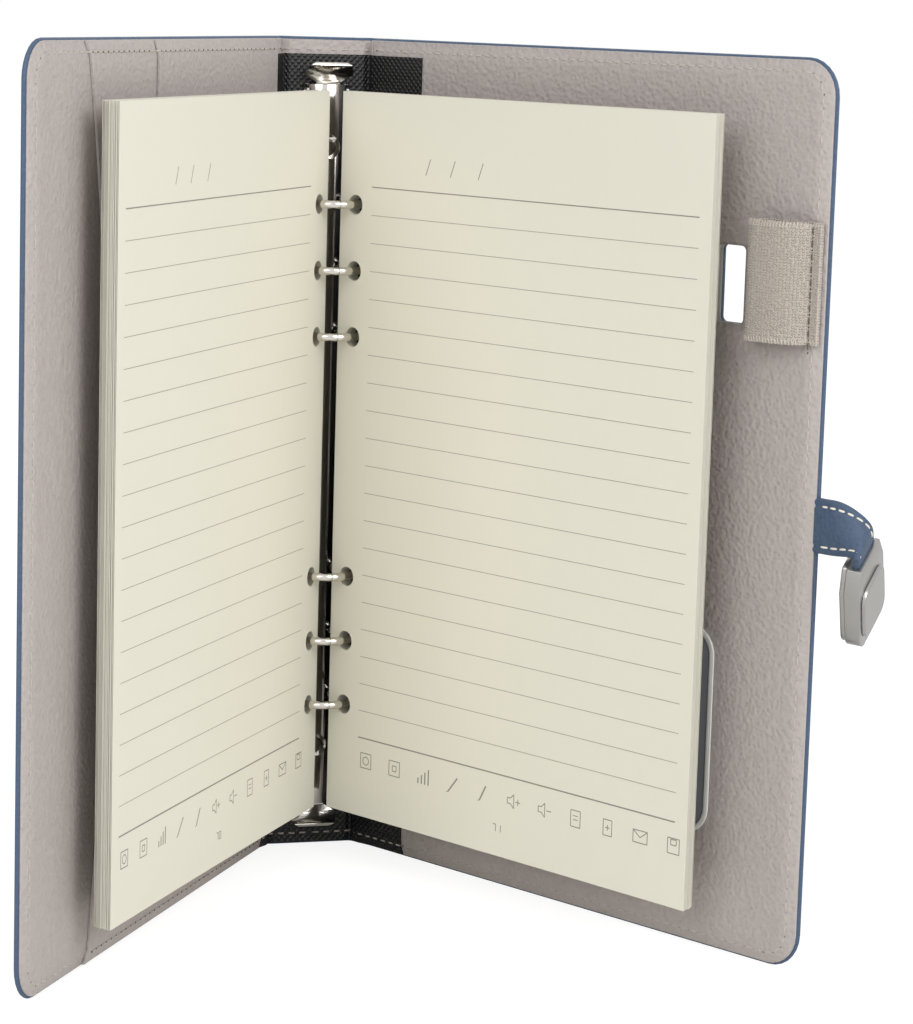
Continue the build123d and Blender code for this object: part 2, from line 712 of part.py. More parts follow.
with BuildPart() as front_vinyl:
    plate("front", LINING_IN, VINYL, (BOARD_START, FRONT_VINYL_END), VINYL_SPAN)
save(front_vinyl, "front_vinyl")

with BuildPart() as large_pocket:
    with BuildSketch(cover_plane("front", LINING_IN)):
        with BuildLine():
            ThreePointArc(
                (LARGE_POCKET_TOP, LINING_TOP),
                (LARGE_POCKET_MIDDLE, MID_HEIGHT),
                (LARGE_POCKET_BOTTOM, LINING_INSET),
            )
            Polyline(
                (LARGE_POCKET_BOTTOM, LINING_INSET),
                (POCKET_START, LINING_INSET),
                (POCKET_START, LINING_TOP),
                (LARGE_POCKET_TOP, LINING_TOP),
            )
        make_face()
    extrude(amount=-LARGE_POCKET_SHEET)
save(large_pocket, "large_pocket")

with BuildPart() as small_pocket:
    plate(
        "front",
        LINING_IN + LARGE_POCKET_SHEET,
        SMALL_POCKET_SHEET,
        (SMALL_POCKET_START, SMALL_POCKET_END),
        (LINING_TOP - SMALL_POCKET_HEIGHT, LINING_TOP),
    )
save(small_pocket, "small_pocket")

# Back cover

BANK_TOP = LINING_IN + BANK_PROUD
BANK_FLOOR = LINING_IN - BANK_SUNK
CASE_NEAR = BANK_NEAR + TRIM_WIDTH
CASE_FAR = BANK_FAR - TRIM_WIDTH
CASE_LOW = BANK_LOW + TRIM_WIDTH
CASE_HIGH = BANK_HIGH - TRIM_WIDTH
CASE_CORNER = BANK_CORNER - TRIM_WIDTH
WINDOW_REACH = (CASE_NEAR - BANK_FIT, CASE_FAR + BANK_FIT)
WINDOW_HEIGHTS = (CASE_LOW - BANK_FIT, CASE_HIGH + BANK_FIT)
WINDOW_CORNER = CASE_CORNER + BANK_FIT


def bank_window(level, thickness):
    """Cuts the power bank's window through a layer of the back cover."""
    plate("back", level, thickness, WINDOW_REACH, WINDOW_HEIGHTS, WINDOW_CORNER, Mode.SUBTRACT)


def slot_cut(level, thickness):
    """Cuts the upright slot through a layer of the back cover."""
    far = COVER_REACH - LINING_INSET - LOOP_SEAM - LOOP_WIDTH - SLOT_FROM_LOOP
    plate(
        "back", level, thickness, (far - SLOT_WIDTH, far), (SLOT_LOW, SLOT_HIGH), SLOT_CORNER,
        Mode.SUBTRACT,
    )


with BuildPart() as back_skin:
    skin_shell("back")
    slot_cut(-SKIN_IN, SKIN)
    strap_axis = COVER_REACH + STRAP_ROOT
    strap_level = STRAP_THICKNESS / 2 - SKIN_IN
    with BuildSketch(section_plane("back", MID_HEIGHT - STRAP_WIDTH / 2)):
        with Locations(((COVER_REACH - EDGE_WRAP + strap_axis) / 2, -strap_level)):
            Rectangle(STRAP_ROOT + EDGE_WRAP, STRAP_THICKNESS)
        with Locations((strap_axis, -strap_level)):
            Circle(STRAP_THICKNESS / 2)
    extrude(amount=STRAP_WIDTH)
save(back_skin, "back_skin")

with BuildPart() as back_board:
    cover_layer("back", SKIN_IN, BOARD, BOARD_START, EDGE_WRAP)
    bank_window(SKIN_IN, BOARD)
    slot_cut(SKIN_IN, BOARD)
save(back_board, "back_board")

with BuildPart() as back_foam:
    padding("back", SKIN_IN)
    bank_window(BANK_FLOOR, SKIN_IN - BANK_FLOOR)
save(back_foam, "back_foam")

with BuildPart() as back_lining:
    lining_section("back")
    bank_window(BOARD_IN, LINING)
    slot_cut(BOARD_IN, LINING)
save(back_lining, "back_lining")

with BuildPart() as back_vinyl:
    plate("back", LINING_IN, VINYL, (BOARD_START, BACK_VINYL_END), VINYL_SPAN)
save(back_vinyl, "back_vinyl")

with BuildPart() as pen_loop:
    loop_end = COVER_REACH - LINING_INSET
    loop_far = loop_end - LOOP_SEAM
    with BuildSketch(section_plane("back", LOOP_LOW)):
        with Locations((loop_far - LOOP_WIDTH / 2, -(LINING_IN + LOOP_RISE / 2))):
            RectangleRounded(LOOP_WIDTH, LOOP_RISE, LOOP_CORNER)
            RectangleRounded(
                LOOP_WIDTH - 2 * LOOP_BAND,
                LOOP_RISE - 2 * LOOP_BAND,
                LOOP_CORNER - LOOP_BAND,
                mode=Mode.SUBTRACT,
            )
        with Locations((loop_end - (LOOP_SEAM + LOOP_CORNER) / 2, -(LINING_IN + LOOP_BAND / 2))):
            Rectangle(LOOP_SEAM + LOOP_CORNER, LOOP_BAND)
    extrude(amount=LOOP_HIGH - LOOP_LOW)
save(pen_loop, "pen_loop")

# Power bank

CAVITY_REACH = (CASE_NEAR + BANK_WALL, CASE_FAR - BANK_WALL)
CAVITY_HEIGHTS = (CASE_LOW + BANK_WALL, CASE_HIGH - BANK_WALL)
CAVITY_CORNER = CASE_CORNER - BANK_WALL
CAVITY_FLOOR = BANK_FLOOR + BANK_WALL
SOCKET_LEVEL = CIRCUIT_LEVEL + CIRCUIT_THICKNESS
USB_C_LEVEL = SOCKET_LEVEL + USB_C_HEIGHT / 2
MICRO_LEVEL = SOCKET_LEVEL + MICRO_HEIGHT / 2
BUTTON_LEVEL = SOCKET_LEVEL + BUTTON_HEIGHT / 2 + BUTTON_FLANGE / 2
CIRCUIT_LOW = CAVITY_HEIGHTS[1] - CIRCUIT_STRIP
LIGHT_HEIGHT = CIRCUIT_LOW + LIGHTS_FROM_EDGE
LIGHT_PLACES = [
    (CAVITY_REACH[1] - LIGHTS_FROM_END - index * LIGHT_PITCH, LIGHT_HEIGHT) for index in range(LIGHTS)
]


def wall_slot(reach, level, width, height, low, high, mode=Mode.SUBTRACT):
    """Adds or cuts a round-ended prism that runs up through the bank's upper wall."""
    with BuildSketch(section_plane("back", low)) as outline:
        with Locations((reach, -level)):
            RectangleRounded(width, height, height / 2 - 0.05)
    extrude(outline.sketch, amount=high - low, mode=mode)


with BuildPart() as bank_case:
    case_reach = (CASE_NEAR, CASE_FAR)
    case_heights = (CASE_LOW, CASE_HIGH)
    plate("back", BANK_FLOOR, BANK_TOP - BANK_FLOOR, case_reach, case_heights, CASE_CORNER)
    plate(
        "back", CAVITY_FLOOR, BANK_TOP - CAVITY_FLOOR, CAVITY_REACH, CAVITY_HEIGHTS, CAVITY_CORNER,
        Mode.SUBTRACT,
    )
    wall_slot(
        USB_C_REACH, USB_C_LEVEL, USB_C_WIDTH + 2 * SOCKET_GAP, USB_C_HEIGHT + 2 * SOCKET_GAP,
        CAVITY_HEIGHTS[1] - 0.5, BANK_HIGH,
    )
    wall_slot(
        MICRO_REACH, MICRO_LEVEL, MICRO_WIDTH + 2 * SOCKET_GAP, MICRO_HEIGHT + 2 * SOCKET_GAP,
        CAVITY_HEIGHTS[1] - 0.5, BANK_HIGH,
    )
    wall_slot(
        BUTTON_REACH, BUTTON_LEVEL, BUTTON_WIDTH + 2 * BUTTON_CLEARANCE,
        BUTTON_HEIGHT + 2 * BUTTON_CLEARANCE, CAVITY_HEIGHTS[1] - 0.5, BANK_HIGH,
    )
    for post_reach in (CAVITY_REACH[0] + 2 * POST, CAVITY_REACH[1] - 2 * POST):
        plate(
            "back", CAVITY_FLOOR, CIRCUIT_LEVEL - CAVITY_FLOOR,
            (post_reach - POST / 2, post_reach + POST / 2),
            (CIRCUIT_LOW + POST / 2, CIRCUIT_LOW + 1.5 * POST), POST / 2 - 0.1,
        )
save(bank_case, "bank_case")

with BuildPart() as bank_face:
    face_reach = (CAVITY_REACH[0] + BANK_FIT, CAVITY_REACH[1] - BANK_FIT)
    face_heights = (CAVITY_HEIGHTS[0] + BANK_FIT, CAVITY_HEIGHTS[1] - BANK_FIT)
    face_level = BANK_TOP - FACE_PLATE
    plate("back", face_level, FACE_PLATE, face_reach, face_heights, CAVITY_CORNER - BANK_FIT)
    with BuildSketch(cover_plane("back", face_level)):
        with Locations(LIGHT_PLACES):
            RegularPolygon(LIGHT_BORE / 2, LIGHT_SIDES)
    extrude(amount=FACE_PLATE, mode=Mode.SUBTRACT)
save(bank_face, "bank_face")

with BuildPart() as bank_trim:
    plate("back", LINING_IN, TRIM_THICKNESS, (BANK_NEAR, BANK_FAR), (BANK_LOW, BANK_HIGH), BANK_CORNER)
    bank_window(LINING_IN, TRIM_THICKNESS)
save(bank_trim, "bank_trim")

with BuildPart() as pouch_cells:
    cell_low = CAVITY_HEIGHTS[0] + CELL_GAP
    cell_high = CIRCUIT_LOW - CELL_GAP
    cell_middle = (CAVITY_REACH[0] + CAVITY_REACH[1]) / 2
    for cell_near, cell_far in (
        (CAVITY_REACH[0] + CELL_GAP, cell_middle - CELL_GAP / 2),
        (cell_middle + CELL_GAP / 2, CAVITY_REACH[1] - CELL_GAP),
    ):
        plate(
            "back", CAVITY_FLOOR, CELL_THICKNESS, (cell_near, cell_far), (cell_low, cell_high),
            CELL_CORNER,
        )
save(pouch_cells, "pouch_cells")

with BuildPart() as circuit_board:
    board_reach = (CAVITY_REACH[0] + CAVITY_CORNER, CAVITY_REACH[1] - CAVITY_CORNER)
    board_heights = (CIRCUIT_LOW, CAVITY_HEIGHTS[1] - BANK_FIT)
    plate("back", CIRCUIT_LEVEL, CIRCUIT_THICKNESS, board_reach, board_heights)
save(circuit_board, "circuit_board")

with BuildPart() as circuit_chips:
    for index in range(CHIPS):
        chip_reach = CAVITY_REACH[0] + CHIPS_FROM_END + index * CHIP_PITCH
        chip_low = CIRCUIT_LOW + CELL_GAP
        plate(
            "back", SOCKET_LEVEL, CHIP_THICKNESS, (chip_reach, chip_reach + CHIP), (chip_low, chip_low + CHIP)
        )
save(circuit_chips, "circuit_chips")


def socket(reach, level, width, height):
    """Adds a charging socket's shell with the tongue inside it."""
    low = CASE_HIGH - SOCKET_LENGTH
    wall_slot(reach, level, width, height, low, CASE_HIGH, mode=Mode.ADD)
    wall_slot(
        reach, level, width - 2 * SOCKET_SHELL, height - 2 * SOCKET_SHELL,
        low + 2 * SOCKET_SHELL, CASE_HIGH,
    )
    with BuildSketch(section_plane("back", low)) as tongue:
        with Locations((reach, -level)):
            Rectangle(width - 3 * TONGUE, TONGUE)
    extrude(tongue.sketch, amount=SOCKET_LENGTH - TONGUE)


with BuildPart() as usb_c_socket:
    socket(USB_C_REACH, USB_C_LEVEL, USB_C_WIDTH, USB_C_HEIGHT)
save(usb_c_socket, "usb_c_socket")

with BuildPart() as micro_usb_socket:
    socket(MICRO_REACH, MICRO_LEVEL, MICRO_WIDTH, MICRO_HEIGHT)
save(micro_usb_socket, "micro_usb_socket")

BUTTON_TOP = CASE_HIGH + BUTTON_PROUD
SWITCH_TOP = CAVITY_HEIGHTS[1] - BUTTON_FLANGE - 2 * BUTTON_CLEARANCE - BUTTON_TRAVEL

with BuildPart() as power_button:
    wall_slot(
        BUTTON_REACH, BUTTON_LEVEL, BUTTON_WIDTH, BUTTON_HEIGHT,
        CAVITY_HEIGHTS[1] - BUTTON_CLEARANCE, BUTTON_TOP, mode=Mode.ADD,
    )
    with BuildSketch(section_plane("back", CAVITY_HEIGHTS[1] - BUTTON_CLEARANCE - BUTTON_FLANGE)):
        with Locations((BUTTON_REACH, -BUTTON_LEVEL)):
            Rectangle(BUTTON_WIDTH + 2 * BUTTON_FLANGE, BUTTON_HEIGHT)
    extrude(amount=BUTTON_FLANGE)
save(power_button, "power_button")

with BuildPart() as button_switch:
    with BuildSketch(section_plane("back", SWITCH_TOP - SWITCH)):
        with Locations((BUTTON_REACH, -(SOCKET_LEVEL + SWITCH_HEIGHT / 2))):
            Rectangle(SWITCH, SWITCH_HEIGHT)
    extrude(amount=SWITCH)
save(button_switch, "button_switch")

with BuildPart() as light_guides:
    with BuildSketch(cover_plane("back", SOCKET_LEVEL)):
        with Locations(LIGHT_PLACES):
            RegularPolygon(LIGHT_BORE / 2 - BANK_FIT, LIGHT_SIDES)
    extrude(amount=BANK_TOP - SOCKET_LEVEL)
save(light_guides, "light_guides")

with BuildPart() as cell_leads:
    for place in (-2, -1, 1, 2):
        lead_reach = cell_middle + place * LEAD_PITCH
        plate(
            "back", SOCKET_LEVEL, LEAD_THICKNESS, (lead_reach - LEAD_WIDTH / 2, lead_reach + LEAD_WIDTH / 2),
            (cell_high, CIRCUIT_LOW + LEAD_WIDTH),
        )
save(cell_leads, "cell_leads")

# Strap: a flat leather strip that bends away from the book and twists as it droops


def turned(vector, axis, degrees):
    """A vector turned about an axis direction through the origin."""
    return vector.rotate(Axis((0, 0, 0), (axis.X, axis.Y, axis.Z)), degrees)


def share_between(place, start, end):
    """Smooth share of a turn reached at a place along the strap, from 0 before start to 1 after end."""
    step = min(max((place - start) / (end - start), 0), 1)
    return (1 - math.cos(math.pi * step)) / 2


def strap_stations():
    """Places, headings and facings along the strap, from its root to the clasp."""
    heading = along(BACK_ANGLE, 1)
    facing = outward(BACK_ANGLE, 1) * -1
    place = hinge_point("back") + heading * (COVER_REACH + STRAP_ROOT) + Vector(0, 0, MID_HEIGHT)
    place = place + facing * (STRAP_THICKNESS / 2 - SKIN_IN)
    stations = [(place, heading, facing)]
    for step in range(STRAP_STEPS):
        old, new = step / STRAP_STEPS, (step + 1) / STRAP_STEPS
        bend = STRAP_BEND * (share_between(new, 0.45, 1) - share_between(old, 0.45, 1))
        twist = STRAP_TWIST * (share_between(new, 0.15, 0.85) - share_between(old, 0.15, 0.85))
        across = facing.cross(heading)
        heading = turned(heading, across, bend)
        facing = turned(turned(facing, across, bend), heading, -twist)
        place = place + heading * (STRAP_LENGTH / STRAP_STEPS)
        stations.append((place, heading, facing))
    return stations


STATIONS = strap_stations()
STRAP_STOP, STRAP_HEADING, STRAP_FACING = STATIONS[-1]
STRAP_CLEAR = STRAP_THICKNESS / 2 + STRAP_GAP
SKIPPED_STEPS = math.ceil(STRAP_CLEAR / STRAP_LENGTH * STRAP_STEPS)



def strap_corners(index):
    """Four corners of one of the strap's sections, in order round it."""
    step = SKIPPED_STEPS + round(index * (STRAP_STEPS - 2 * SKIPPED_STEPS) / (STRAP_SECTIONS - 1))
    half_width = (STRAP_WIDTH - (STRAP_WIDTH - STRAP_END_WIDTH) * step / STRAP_STEPS) / 2
    place, heading, facing = STATIONS[step]
    across = facing.cross(heading) * half_width
    rise = facing * (STRAP_THICKNESS / 2)
    return [place + rise + across, place - rise + across, place - rise - across, place + rise - across]


def flat_face(*corners):
    """Flat face with the given corners."""
    return Face(Wire.make_polygon(corners))


with BuildPart() as strap:
    sections = [strap_corners(index) for index in range(STRAP_SECTIONS)]
    faces = [flat_face(*sections[0]), flat_face(*sections[-1])]
    for here, onward in zip(sections, sections[1:]):
        for corner in range(4):
            beside = (corner + 1) % 4
            faces.append(flat_face(here[corner], here[beside], onward[corner]))
            faces.append(flat_face(here[beside], onward[beside], onward[corner]))
    add(Solid(Shell(faces)))
save(strap, "strap")


def clasp_plane(level):
    """Plane of the clasp with X away from the neck's mouth, level towards its face plate."""
    mouth = STRAP_STOP + STRAP_HEADING * STRAP_ROOT_TO_NECK
    return Plane(origin=mouth + STRAP_FACING * level, x_dir=STRAP_HEADING, z_dir=STRAP_FACING)


with BuildPart() as strap_end:
    mouth = clasp_plane(0)
    with BuildSketch(Plane(origin=mouth.origin, x_dir=mouth.x_dir, z_dir=mouth.y_dir)):
        with Locations(((STRAP_TUCK - STRAP_ROOT_TO_NECK) / 2, 0)):
            Rectangle(STRAP_TUCK + STRAP_ROOT_TO_NECK, STRAP_THICKNESS)
        with Locations((-STRAP_ROOT_TO_NECK, 0)):
            Circle(STRAP_THICKNESS / 2)
    extrude(amount=STRAP_END_WIDTH / 2, both=True)
    with BuildSketch(clasp_plane(-STRAP_THICKNESS / 2)):
        with Locations((STRAP_TUCK - CLASP_PIN, 0)):
            Circle(CLASP_PIN / 2)
    extrude(amount=STRAP_THICKNESS, mode=Mode.SUBTRACT)
save(strap_end, "strap_end")


def clasp_slab(level, thickness, inset):
    """Adds a slab of the clasp: a tapered neck that widens into a rounded body."""
    half = CLASP_WIDTH / 2 - inset
    neck_half = CLASP_NECK_WIDTH / 2 - inset
    with BuildSketch(clasp_plane(level)) as outline:
        with BuildLine():
            Polyline(
                (0, -neck_half),
                (CLASP_NECK_LENGTH, -half),
                (CLASP_LENGTH - inset, -half),
                (CLASP_LENGTH - inset, half),
                (CLASP_NECK_LENGTH, half),
                (0, neck_half),
                close=True,
            )
        make_face()
        fillet(outline.vertices().group_by(Axis.X)[-1], CLASP_CORNER)
    extrude(outline.sketch, amount=thickness)


BODY_LOW = -CLASP_BODY / 2
BODY_HIGH = CLASP_BODY / 2
CLASP_PIN_LENGTH = (CLASP_BODY + STRAP_THICKNESS) / 2

with BuildPart() as clasp_body:
    clasp_slab(BODY_LOW, CLASP_BODY, 0)
    with BuildSketch(clasp_plane(-STRAP_THICKNESS / 2)):
        with Locations((STRAP_TUCK / 2, 0)):
            Rectangle(STRAP_TUCK, STRAP_END_WIDTH)
    extrude(amount=STRAP_THICKNESS, mode=Mode.SUBTRACT)
    with BuildSketch(clasp_plane(BODY_HIGH - MAGNET_THICKNESS)):
        with Locations((CLASP_FACE_CENTRE, 0)):
            Circle(MAGNET / 2)
    extrude(amount=MAGNET_THICKNESS, mode=Mode.SUBTRACT)
    with BuildSketch(clasp_plane(BODY_LOW)):
        with Locations((STRAP_TUCK - CLASP_PIN, 0)):
            Circle(CLASP_PIN / 2)
    extrude(amount=CLASP_PIN_LENGTH, mode=Mode.SUBTRACT)
save(clasp_body, "clasp_body")

with BuildPart() as clasp_back:
    clasp_slab(BODY_LOW - CLASP_BACK, CLASP_BACK, CLASP_FACE / 2)
save(clasp_back, "clasp_back")

with BuildPart() as clasp_face:
    with BuildSketch(clasp_plane(BODY_HIGH)):
        with Locations((CLASP_FACE_CENTRE, 0)):
            RectangleRounded(CLASP_FACE_LENGTH, CLASP_FACE_WIDTH, CLASP_FACE_CORNER)
    extrude(amount=CLASP_FACE, taper=20)
save(clasp_face, "clasp_face")

with BuildPart() as clasp_magnet:
    with BuildSketch(clasp_plane(BODY_HIGH - MAGNET_THICKNESS)):
        with Locations((CLASP_FACE_CENTRE, 0)):
            Circle(MAGNET / 2)
    extrude(amount=MAGNET_THICKNESS)
save(clasp_magnet, "clasp_magnet")

with BuildPart() as clasp_pin:
    with BuildSketch(clasp_plane(BODY_LOW)):
        with Locations((STRAP_TUCK - CLASP_PIN, 0)):
            Circle(CLASP_PIN / 2)
    extrude(amount=CLASP_PIN_LENGTH)
save(clasp_pin, "clasp_pin")
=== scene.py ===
"""Looks of a six-ring notebook with a power bank in its back cover.

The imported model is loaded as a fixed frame. Leather, lining, vinyl, elastic and paper are made
again as soft sheets, metal and moulded parts get rounded edges, and every part gets a material.
Lengths in this file are millimetres, turned to metres when a mesh is made. "run" counts from the
middle of the spine round a crease and along a cover, "reach" from a cover's hinge towards its
fore-edge, and "level" from the hinge plane towards the leaves.
"""

import json
import logging
import math
import random
from collections.abc import Callable
from dataclasses import dataclass, field
from enum import Enum

import bmesh
import bpy
from mathutils import Matrix, Vector, noise

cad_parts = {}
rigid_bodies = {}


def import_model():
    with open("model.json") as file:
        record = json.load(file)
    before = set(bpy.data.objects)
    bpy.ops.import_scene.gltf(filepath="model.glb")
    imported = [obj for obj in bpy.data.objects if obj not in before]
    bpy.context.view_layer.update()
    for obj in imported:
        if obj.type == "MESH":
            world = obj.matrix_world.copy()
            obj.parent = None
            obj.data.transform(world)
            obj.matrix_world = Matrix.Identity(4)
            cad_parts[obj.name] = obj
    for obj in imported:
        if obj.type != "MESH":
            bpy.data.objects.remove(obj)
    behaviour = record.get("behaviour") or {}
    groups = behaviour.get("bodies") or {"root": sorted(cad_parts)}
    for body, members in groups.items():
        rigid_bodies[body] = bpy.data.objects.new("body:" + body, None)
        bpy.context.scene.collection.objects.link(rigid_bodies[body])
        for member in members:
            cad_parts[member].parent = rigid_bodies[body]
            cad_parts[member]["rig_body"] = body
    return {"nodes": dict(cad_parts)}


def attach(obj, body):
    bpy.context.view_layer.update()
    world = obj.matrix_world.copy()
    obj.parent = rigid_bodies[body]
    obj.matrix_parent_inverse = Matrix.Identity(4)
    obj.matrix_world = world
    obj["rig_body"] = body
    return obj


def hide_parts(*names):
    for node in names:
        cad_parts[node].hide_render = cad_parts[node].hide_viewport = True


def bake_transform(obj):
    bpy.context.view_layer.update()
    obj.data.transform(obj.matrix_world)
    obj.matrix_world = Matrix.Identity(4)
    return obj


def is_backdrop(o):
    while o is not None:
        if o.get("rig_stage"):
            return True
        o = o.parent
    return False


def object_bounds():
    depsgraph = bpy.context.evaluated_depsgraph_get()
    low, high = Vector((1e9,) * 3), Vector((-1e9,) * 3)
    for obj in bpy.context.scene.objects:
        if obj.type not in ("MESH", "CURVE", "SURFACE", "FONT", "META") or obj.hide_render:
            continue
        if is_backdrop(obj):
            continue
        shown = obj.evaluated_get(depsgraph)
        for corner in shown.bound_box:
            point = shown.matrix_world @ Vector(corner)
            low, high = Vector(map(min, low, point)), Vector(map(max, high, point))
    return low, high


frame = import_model()
CAD_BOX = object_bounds()
LOG = logging.getLogger("notebook")

# Sizes that the part's source drives, in millimetres
MM = 0.001
BOOK_HEIGHT = 240.0
COVER_REACH = 174.0
HINGE_HALF = 14.0
CORNER_RADIUS = 10.0
RUN_END = HINGE_HALF + COVER_REACH
SKIN_OUT = -0.5
SKIN_IN = 0.5
BOARD_IN = 1.9
LINING_IN = 2.5
RING_Y = -13.7
RING_RADIUS = 9.2
RING_HEIGHTS = [120.0 + way for way in (-73.0, -54.0, -35.0, 35.0, 54.0, 73.0)]
LINING_INSET = 0.8
VINYL_TOP = 235.0
LINING_TOP = 239.2
STITCH_PITCH = 3.3
STITCH_INSET = 3.6

Place = tuple[float, float]


# Finishes


class Pattern(Enum):
    """Surface relief of a finish."""

    GRAIN = "grain"
    FIBRE = "fibre"
    DOTS = "dots"
    RIBS = "ribs"
    BRUSHED = "brushed"
    FOAM = "foam"


@dataclass(frozen=True)
class Finish:
    """A real material and how its surface was made.

    Colours are sRGB hex values and sizes are millimetres: scale is the distance between the
    pattern's features, depth their relief, patch the size of slow changes of tone and
    relief_shading how much the tone follows the relief: painted shade in its hollows and a
    painted highlight on its high points.
    """

    name: str
    colour: str
    roughness: float
    pattern: Pattern
    scale: float = 1.0
    depth: float = 0.0
    tone: float = 0.04
    patch: float = 30.0
    relief_shading: float = 0.0
    metallic: float = 0.0
    sheen: float = 0.0
    coat: float = 0.0
    worn: str = ""


# Split cowhide with a pigmented, lightly embossed face: navy, rubbed paler on the turned edges
LEATHER = Finish("pigmented_cowhide_navy", "#33445a", 0.55, Pattern.GRAIN, 1.0, 0.22, 0.3, 4.0,
                 relief_shading=0.7, sheen=0.04, worn="#3f536d")
# Polyurethane leathercloth, dry to the touch, with a pebble grain from the embossing roller that
# is drawn at 1.2 mm where the real one is near 0.9 mm
LINING = Finish("embossed_leathercloth_taupe", "#a69e9b", 0.62, Pattern.GRAIN, 1.2, 0.3, 0.1,
                16.0, relief_shading=0.7, sheen=0.08)
# The same leathercloth used for the pockets, drawn a shade lighter than the lining all over: painted light on one and
# the same material
POCKET_PAINTED_LIGHTER = Finish("embossed_leathercloth_pocket_painted_lighter", "#a9a19e", 0.62, Pattern.GRAIN, 1.2, 0.26, 0.1,
                16.0, relief_shading=0.7, sheen=0.08)
# Calendered vinyl with pressed dots, drawn at 1.3 mm where the real ones are near 0.8 mm
VINYL = Finish("calendered_vinyl_black", "#151516", 0.42, Pattern.DOTS, 1.3, 0.2, 0.05, 30.0)
# Covered polyester elastic, knitted in ribs along its length
ELASTIC = Finish("knitted_elastic_taupe", "#bab0a6", 0.9, Pattern.RIBS, 0.95, 0.5, 0.14, 12.0,
                 relief_shading=0.8, sheen=0.2)
# Texturised yarn of the same shade, wound over the cut ends of the elastic
EDGE_YARN = Finish("texturised_overlock_yarn", "#bfb6ab", 0.9, Pattern.FIBRE, 0.3, 0.04, 0.06, 9.0,
                   sheen=0.2)
# Spun polyester thread in the lining's taupe, sunk in the sheet between needle holes that hold painted shade
LINING_THREAD = Finish("spun_polyester_thread_taupe", "#b3aaa2", 0.8, Pattern.FIBRE, 0.3, 0.04,
                       0.06, 9.0, sheen=0.2)
# Spun polyester sewing thread, cream, with the soft light of twisted fibre
THREAD = Finish("spun_polyester_thread_cream", "#d9d3c6", 0.75, Pattern.FIBRE, 0.3, 0.04, 0.06,
                9.0, sheen=0.3)
# The same thread drawn dark for the pen loop's seam
DARK_THREAD = Finish("spun_polyester_thread_umber", "#5b524b", 0.8, Pattern.FIBRE, 0.3, 0.04,
                     0.06, 9.0, sheen=0.2)
# Dark discs in the needle holes: painted shade, standing in for the shade inside each pit in the sheet
NEEDLE_HOLE_SHADE = Finish("needle_hole_painted_shade", "#3c3733", 0.95, Pattern.FIBRE, 0.3, 0.01, 0.05, 9.0)
# Steel wire with bright nickel plate, polished before plating: near-mirror with faint ripple
NICKEL = Finish("bright_nickel_plate", "#cfcbc4", 0.14, Pattern.BRUSHED, 0.8, 0.004, 0.02, 12.0,
                metallic=1.0)
# Zinc casting with blasted and brushed satin nickel: soft broad highlights
SATIN_NICKEL = Finish("satin_nickel_casting", "#a5a3a1", 0.34, Pattern.BRUSHED, 0.5, 0.012, 0.03,
                      14.0, metallic=1.0)
# Cold-rolled steel strip, oiled, inside the ring case
STEEL = Finish("cold_rolled_steel", "#9b9c9e", 0.38, Pattern.BRUSHED, 0.6, 0.006, 0.03, 20.0,
               metallic=1.0)
# Uncoated cream writing paper: flat white fibre surface
PAPER = Finish("uncoated_writing_paper", "#d9d6c9", 0.88, Pattern.FIBRE, 1.2, 0.006, 0.014, 60.0)
# Offset ink sunk into the paper, grey
INK = Finish("offset_ink_grey", "#8b8880", 0.85, Pattern.FIBRE, 0.8, 0.002, 0.03, 30.0)
# Grey bookbinding board, rolled and dried: felted fibre
BOARD = Finish("binding_board_grey", "#8d8a84", 0.92, Pattern.FIBRE, 2.0, 0.03, 0.06, 25.0)
# Cut polyether foam sheet with open cells
FOAM = Finish("polyether_foam_white", "#d8d5cc", 0.95, Pattern.FOAM, 0.9, 0.25, 0.05, 20.0)
# Injection-moulded ABS with a fine spark-eroded texture
BANK = Finish("spark_textured_abs_grey", "#45474a", 0.5, Pattern.GRAIN, 0.5, 0.02, 0.03, 30.0)
# The same plastic polished in the tool for the face plate
BANK_FACE = Finish("polished_abs_graphite", "#33353a", 0.3, Pattern.GRAIN, 0.8, 0.006, 0.02, 30.0,
                   coat=0.2)
# Moulded silver frame with a satin surface, drawn near-white and barely metallic: its colour is partly the frame's
# silver and partly a painted highlight, so that it reads as a thin bright line
TRIM_PAINTED_HIGHLIGHT = Finish("silver_trim_painted_highlight", "#e6e6e2", 0.3, Pattern.GRAIN, 0.5, 0.004, 0.02, 20.0,
              metallic=0.15, coat=0.3)
# Laminated aluminium pouch of a lithium cell, dull silver film
POUCH = Finish("laminated_cell_film", "#a9abae", 0.42, Pattern.GRAIN, 3.0, 0.03, 0.05, 12.0,
               metallic=0.7)
# Rolled copper strip, lightly tarnished
COPPER = Finish("rolled_copper_strip", "#b87a56", 0.36, Pattern.BRUSHED, 0.4, 0.006, 0.06, 6.0,
                metallic=1.0)
# Glass-epoxy board under green solder resist
CIRCUIT = Finish("solder_resist_green", "#1f5a3c", 0.42, Pattern.GRAIN, 1.4, 0.01, 0.05, 10.0,
                 coat=0.3)
# Transfer-moulded epoxy of chip packages
CHIP = Finish("moulded_epoxy_black", "#202123", 0.58, Pattern.FIBRE, 0.4, 0.006, 0.04, 5.0)
# Cast acrylic light guides, frosted where they were cut
ACRYLIC = Finish("frosted_acrylic_clear", "#dfe4e6", 0.32, Pattern.FIBRE, 0.5, 0.004, 0.02, 5.0,
                 coat=0.4)
# Rubber-backed seamless paper that the book stands on
STAGE_PAPER = Finish("seamless_background_paper", "#f4f4f2", 0.9, Pattern.FIBRE, 3.0, 0.004, 0.01,
                     400.0)


